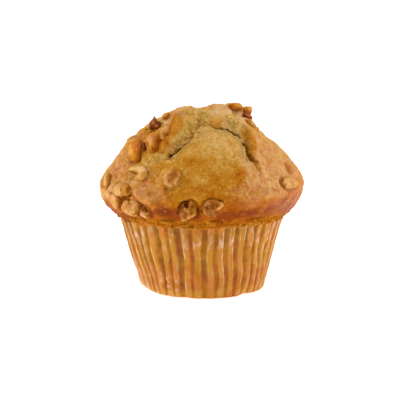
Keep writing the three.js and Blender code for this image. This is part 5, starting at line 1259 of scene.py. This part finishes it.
def crust_material():
    m = Mat("crust")
    co = m.coords()
    bake, torn, orange, deep, pink, rough = (m.attr(k) for k in ("bake", "torn", "orange", "deep", "pink", "rough"))
    mottle = m.noise(co, 3.0, 4.0, 0.6)
    grain = m.noise(co, 0.9, 3.0, 0.65)
    fine = m.noise(co, 0.35, 2.0, 0.6)
    speck = m.noise(co, 1.4, 2.0, 0.5)
    coarse = m.op("MULTIPLY", m.range(m.noise(co, 1.5, 3.0, 0.65), 0.35, 0.65, -0.15, 0.15), rough)
    vary = m.sum(m.range(mottle, 0.3, 0.7, -0.15, 0.15), m.range(grain, 0.35, 0.65, -0.17, 0.17), coarse)
    b = m.sum(bake, m.op("MULTIPLY", vary, m.range(bake, 0.55, 0.8, 1.0, 0.4)), clamp=True)
    crust = m.ramp(b, [
        (0.00, srgb(236, 194, 118)), (0.22, srgb(222, 168, 80)), (0.42, srgb(210, 144, 40)), (0.58, srgb(199, 126, 12)),
        (0.74, srgb(182, 100, 2)), (0.88, srgb(160, 76, 0)), (1.00, srgb(128, 52, 0)),
    ])
    crust = m.mix(m.op("MULTIPLY", orange, 0.75), crust, m.ramp(b, [(0.15, srgb(220, 146, 26)), (0.5, srgb(203, 115, 6)), (0.85, srgb(175, 87, 4))]))
    # pale pinkish grains on the flanks and lumps: partly dry, slightly floury crust, partly painted sheen of the side
    # and overhead lamps
    pale_patch = m.op("MULTIPLY", pink, m.range(grain, 0.38, 0.62, 0.28, 0.78), True)
    crust = m.mix(pale_patch, crust, m.ramp(b, [(0.1, srgb(235, 181, 138)), (0.7, srgb(216, 138, 90))]))
    crumb = m.ramp(m.sum(m.range(speck, 0.3, 0.7, 0.0, 0.5), m.range(grain, 0.3, 0.7, 0.0, 0.3), m.range(bake, 0.0, 1.0, 0.2, -0.1)), [
        (0.0, srgb(208, 144, 30)), (0.45, srgb(232, 178, 84)), (1.0, srgb(248, 214, 150)),
    ])
    col = m.mix(torn, crust, crumb)
    pale = m.range(m.noise(co, 1.2, 1.0, 0.4), 0.64, 0.74, 0.0, 0.3)
    col = m.mix(pale, col, srgb(232, 178, 100))
    # painted shade: the deep attribute darkens slits, hollows, pores and gaps towards dark olive brown
    col = m.mix(m.op("MULTIPLY", deep, 0.95), col, srgb(110, 63, 0))
    m.put(m.b.inputs["Base Color"], col)
    m.put(m.b.inputs["Roughness"], m.sum(m.range(mottle, 0.3, 0.7, 0.42, 0.58), m.op("MULTIPLY", torn, 0.3), clamp=True))
    m.b.inputs["IOR"].default_value = 1.45
    m.b.inputs["Specular IOR Level"].default_value = 0.06
    m.soft(0.28, (1.0, 0.40, 0.10), 0.0014)
    n1 = m.bump(m.sum(m.op("MULTIPLY", grain, 0.8), m.op("MULTIPLY", fine, 0.4)), 0.8, 0.0007)
    pores = m.op("MULTIPLY", m.range(m.voronoi(co, 0.9), 0.0, 0.35, 0.0, 1.0), torn)
    m.put(m.b.inputs["Normal"], m.bump(pores, 0.6, 0.0005, n1))
    return m.m


def paper_material():
    m = Mat("greaseproof_paper")
    co = m.coords()
    crest, fold = m.attr("crest"), m.attr("fold_line_and_highlight")
    z = m.node("ShaderNodeSeparateXYZ")
    m.put(z.inputs[0], co)
    zz = z.outputs["Z"]
    squash = m.node("ShaderNodeVectorMath", operation="MULTIPLY")
    m.put(squash.inputs[0], co)
    squash.inputs[1].default_value = (1.0, 1.0, 0.45)
    blot = m.noise(squash.outputs[0], 5.0, 3.0, 0.55)
    soak = m.noise(squash.outputs[0], 3.6, 2.0, 0.5, 0.6)
    fine = m.noise(co, 0.8, 3.0, 0.6)
    wide = m.noise(squash.outputs[0], 2.0, 2.0, 0.5)
    stuck = m.range(m.noise(co, 4.2, 1.0, 0.4), 0.49, 0.53)  # where the paper clings to the cake
    v = m.sum(
        m.range(crest, 0.0, 1.0, 0.10, 0.50), m.range(blot, 0.3, 0.7, -0.20, 0.20), m.range(fine, 0.3, 0.7, -0.06, 0.06), m.range(zz, 5.5, 1.5, 0.0, 0.20), m.range(zz, 22.0, 27.0, 0.0, -0.11), m.range(z.outputs["X"], 22.0, 31.0, 0.0, 0.10), m.op("MULTIPLY", m.range(zz, 15.0, 8.0), m.range(z.outputs["X"], -6.0, -17.0, 0.0, 0.20)),
        m.op("MULTIPLY", stuck, m.range(crest, 0.0, 1.0, 0.16, 0.03)), clamp=True,
    )
    ochre = m.ramp(v, [
        (0.00, srgb(154, 94, 0)), (0.25, srgb(182, 116, 2)), (0.50, srgb(203, 135, 16)), (0.75, srgb(214, 148, 50)), (1.00, srgb(230, 180, 110)),
    ])
    russet = m.ramp(v, [
        (0.00, srgb(160, 80, 0)), (0.25, srgb(186, 102, 6)), (0.50, srgb(204, 120, 22)), (0.75, srgb(216, 140, 60)), (1.00, srgb(234, 174, 124)),
    ])
    low = m.sum(m.range(zz, 14.0, 9.0, -0.06, 0.12), m.range(zz, 5.0, 2.0, 0.0, -0.22))
    col = m.mix(m.range(m.sum(soak, low), 0.44, 0.56), ochre, russet)
    # not soaked through: whitish along the folds, near the rim and near the base
    pale_patch = m.op("MULTIPLY", m.range(crest, 0.7, 1.0, 0.0, 1.0), m.range(wide, 0.5, 0.66, 0.0, 0.75))
    ends = m.sum(m.range(zz, 18.0, 25.0, 0.0, 0.9), m.range(zz, 26.0, 29.0, 0.0, -0.6), m.range(zz, 10.0, 5.0, 0.0, 0.1), clamp=True)
    col = m.mix(m.op("MULTIPLY", pale_patch, ends, True), col, srgb(236, 196, 168))
    across = m.node("ShaderNodeVectorMath", operation="MULTIPLY")
    m.put(across.inputs[0], co)
    across.inputs[1].default_value = (0.3, 0.3, 1.0)
    steps = m.op("MULTIPLY", m.range(m.noise(across.outputs[0], 3.0, 1.0, 0.5), 0.50, 0.53, 0.0, 0.30), m.range(crest, 0.0, 0.6, 1.0, 0.15))
    col = m.mix(steps, col, srgb(164, 92, 0))
    # the fold lines made paler, whiter towards the rim: partly the paper's own pale fold, partly painted highlight
    line = m.op("MULTIPLY", fold, m.range(m.noise(co, 3.0, 2.0, 0.5), 0.38, 0.60, 0.15, 0.95), True)
    col = m.mix(line, col, m.ramp(m.range(zz, 12.0, 26.0), [(0.0, srgb(250, 204, 150)), (1.0, srgb(250, 218, 186))]))
    glint = m.op("MULTIPLY", m.op("MULTIPLY", m.sum(fold, m.op("MULTIPLY", crest, 0.5)), m.range(m.noise(co, 1.8, 2.0, 0.5), 0.60, 0.65), True), m.op("MULTIPLY", m.range(zz, 13.0, 9.0, 0.0, 0.7), m.range(z.outputs["X"], -6.0, -14.0, 0.15, 1.0)), True)
    col = m.mix(glint, col, srgb(252, 228, 204))
    m.put(m.b.inputs["Base Color"], col)
    m.put(m.b.inputs["Roughness"], m.range(wide, 0.3, 0.7, 0.3, 0.5))
    m.b.inputs["Specular IOR Level"].default_value = 0.18
    m.soft(0.12, (1.0, 0.5, 0.2), 0.0010)
    m.put(m.b.inputs["Normal"], m.bump(m.sum(m.op("MULTIPLY", fine, 0.5), wide), 0.35, 0.0004))
    return m.m


def walnut_material(name, stops):
    m = Mat(name)
    co = m.coords()
    skin, fold, up = m.attr("skin"), m.attr("fold"), m.attr("up")
    a = m.noise(co, 1.6, 3.0, 0.6)
    g = m.noise(co, 0.4, 3.0, 0.6)
    # up carries each facet's tone: partly the piece's own colour, partly painted shade on facets turned from the lamps
    v = m.sum(m.range(a, 0.3, 0.7, 0.22, 0.62), m.range(g, 0.3, 0.7, -0.1, 0.1), m.range(up, -0.3, 0.3, -0.62, 0.62), clamp=True)
    meat = m.ramp(v, stops)
    brown = m.ramp(m.sum(a, m.range(up, -0.3, 0.3, 0.25, -0.25)), [(0.3, srgb(108, 42, 10)), (0.5, srgb(150, 76, 34)), (0.72, srgb(196, 122, 68))])
    meat = m.mix(m.op("MULTIPLY", m.attr("pink"), 0.55), meat, m.ramp(v, [(0.1, srgb(236, 180, 140)), (0.5, srgb(210, 136, 86)), (0.9, srgb(156, 80, 34))]))
    meat = m.mix(m.op("MULTIPLY", m.attr("gold"), 0.7), meat, m.ramp(v, [(0.1, srgb(222, 164, 50)), (0.5, srgb(190, 124, 4)), (0.9, srgb(146, 82, 0))]))
    col = m.mix(skin, meat, brown)
    # a film of dough over the edges where the piece sits in it
    film = m.op("MULTIPLY", m.attr("film"), m.range(a, 0.40, 0.60, 0.35, 1.0), True)
    col = m.mix(film, col, m.ramp(g, [(0.35, srgb(206, 138, 44)), (0.65, srgb(224, 168, 94))]))
    # painted shade: fold darkens hollows, creases, the rim and the side wall towards dark brown
    col = m.mix(m.op("MULTIPLY", fold, 0.65, True), col, srgb(118, 56, 0))
    m.put(m.b.inputs["Base Color"], col)
    m.put(m.b.inputs["Roughness"], m.range(a, 0.3, 0.7, 0.36, 0.56))
    m.b.inputs["Specular IOR Level"].default_value = 0.09
    m.soft(0.2, (1.0, 0.45, 0.2), 0.0012)
    m.put(m.b.inputs["Normal"], m.bump(m.sum(g, m.op("MULTIPLY", a, 0.8)), 0.6, 0.0004))
    return m.m


crust, paper = crust_material(), paper_material()
NUT_MATS = {
    0: walnut_material("walnut_meat", [(0.0, srgb(242, 196, 116)), (0.4, srgb(226, 160, 72)), (0.75, srgb(204, 128, 14)), (1.0, srgb(170, 98, 0))]),
    1: walnut_material("walnut_toasted", [(0.0, srgb(240, 178, 76)), (0.4, srgb(222, 130, 28)), (0.75, srgb(202, 106, 4)), (1.0, srgb(164, 80, 0))]),
    3: walnut_material("walnut_brown", [(0.0, srgb(240, 182, 106)), (0.30, srgb(214, 148, 62)), (0.60, srgb(186, 114, 22)), (0.85, srgb(142, 74, 0)), (1.0, srgb(84, 26, 0))]),
    2: walnut_material("walnut_dark", [(0.0, srgb(222, 156, 72)), (0.4, srgb(184, 108, 20)), (0.75, srgb(150, 80, 0)), (1.0, srgb(112, 48, 0))]),
}

cake, cake_p, cake_n, cake_attrs, cake_where = make_cake(99)
cake.data.materials.append(crust)
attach(cake, "root")
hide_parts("cake")

grains = make_grains(cake_p, cake_n, cake_attrs, cake_where, 1.0)
grains.data.materials.append(crust)
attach(grains, "root")

case = make_case(14, 64)
case.data.materials.append(paper)
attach(case, "root")
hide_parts("paper_case")

for k in WALNUTS:
    pts, fcs, attrs = NUTS[k]
    tone = WALNUTS[k][7]
    nut = mesh_object(f"walnut_piece_{k:02d}", pts, fcs, attrs)
    nut.data.materials.append(NUT_MATS[{1: 3, 2: 3, 6: 0, 9: 0, 11: 3, 13: 1, 20: 0}.get(k, tone)])
    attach(nut, "root")
    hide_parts(f"walnut_{k:02d}")

# small chips between the pieces, as one mesh
_pts, _fcs, _at = [], [], {"skin": [], "fold": [], "up": [], "film": [], "pink": [], "gold": []}
for k in CHIPS:
    pts, fcs, attrs = NUTS[k]
    _fcs.append(fcs + sum(len(p) for p in _pts))
    _pts.append(pts)
    for key in _at:
        _at[key].append(attrs[key])
chips = mesh_object("walnut_chips", np.concatenate(_pts), np.concatenate(_fcs), {k: np.concatenate(v) for k, v in _at.items()})
chips.data.materials.append(NUT_MATS[0])
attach(chips, "root")

# ------------------------------------------------------------------------------------------------- stage and light
fm = Mat("floor")
fm.b.inputs["Roughness"].default_value = 0.9
fm.b.inputs["Specular IOR Level"].default_value = 0.1
fm.put(fm.b.inputs["Base Color"], fm.ramp(fm.noise(fm.coords(), 400.0, 1.0), [(0.0, (0.86, 0.86, 0.86, 1)), (1.0, (0.88, 0.88, 0.88, 1))]))
fm.b.inputs["Emission Color"].default_value = (1, 1, 1, 1)
fm.b.inputs["Emission Strength"].default_value = FLOOR_GLOW
floor = mesh_object("floor", np.array([(-4000, -3000, 0), (4000, -3000, 0), (4000, 5000, 0), (-4000, 5000, 0)], float), np.array([[0, 1, 2, 3]]), shade_smooth=False)
floor.data.materials.append(fm.m)
glow = Mat("floor_far")  # the same floor further back, out of the lamps' reach
glow.b.inputs["Roughness"].default_value = 0.9
glow.b.inputs["Specular IOR Level"].default_value = 0.1
glow.b.inputs["Base Color"].default_value = (0.87, 0.87, 0.87, 1)
glow.b.inputs["Emission Color"].default_value = (1, 1, 1, 1)
glow.b.inputs["Emission Strength"].default_value = 1.0
floor_far = mesh_object("floor_far", np.array([(-4000, 700, 0.02), (4000, 700, 0.02), (4000, 5000, 0.02), (-4000, 5000, 0.02)], float), np.array([[0, 1, 2, 3]]), shade_smooth=False)
floor_far.data.materials.append(glow.m)

world = bpy.data.worlds.new("studio")
bpy.context.scene.world = world
world.use_nodes = True
world.node_tree.nodes["Background"].inputs[0].default_value = (1.0, 1.0, 1.0, 1.0)
world.node_tree.nodes["Background"].inputs[1].default_value = WORLD


def area(name, at, aim, size, power, colour=(1, 1, 1)):
    data = bpy.data.lights.new(name, "AREA")
    data.shape = "RECTANGLE"
    data.size, data.size_y = size
    data.energy = power
    data.color = colour
    ob = bpy.data.objects.new(name, data)
    bpy.context.scene.collection.objects.link(ob)
    ob.location = at
    ob.rotation_mode = "QUATERNION"
    ob.rotation_quaternion = (Vector(aim) - Vector(at)).to_track_quat("-Z", "Y")
    ob.visible_camera = False
    return ob


for name, at, size, power in LAMPS:
    area(name, at, (0, 0, 0.045), size, power)

vs = bpy.context.scene.view_settings
vs.view_transform = "Standard"
vs.look = "None"
vs.exposure = 0.0
vs.gamma = 1.0
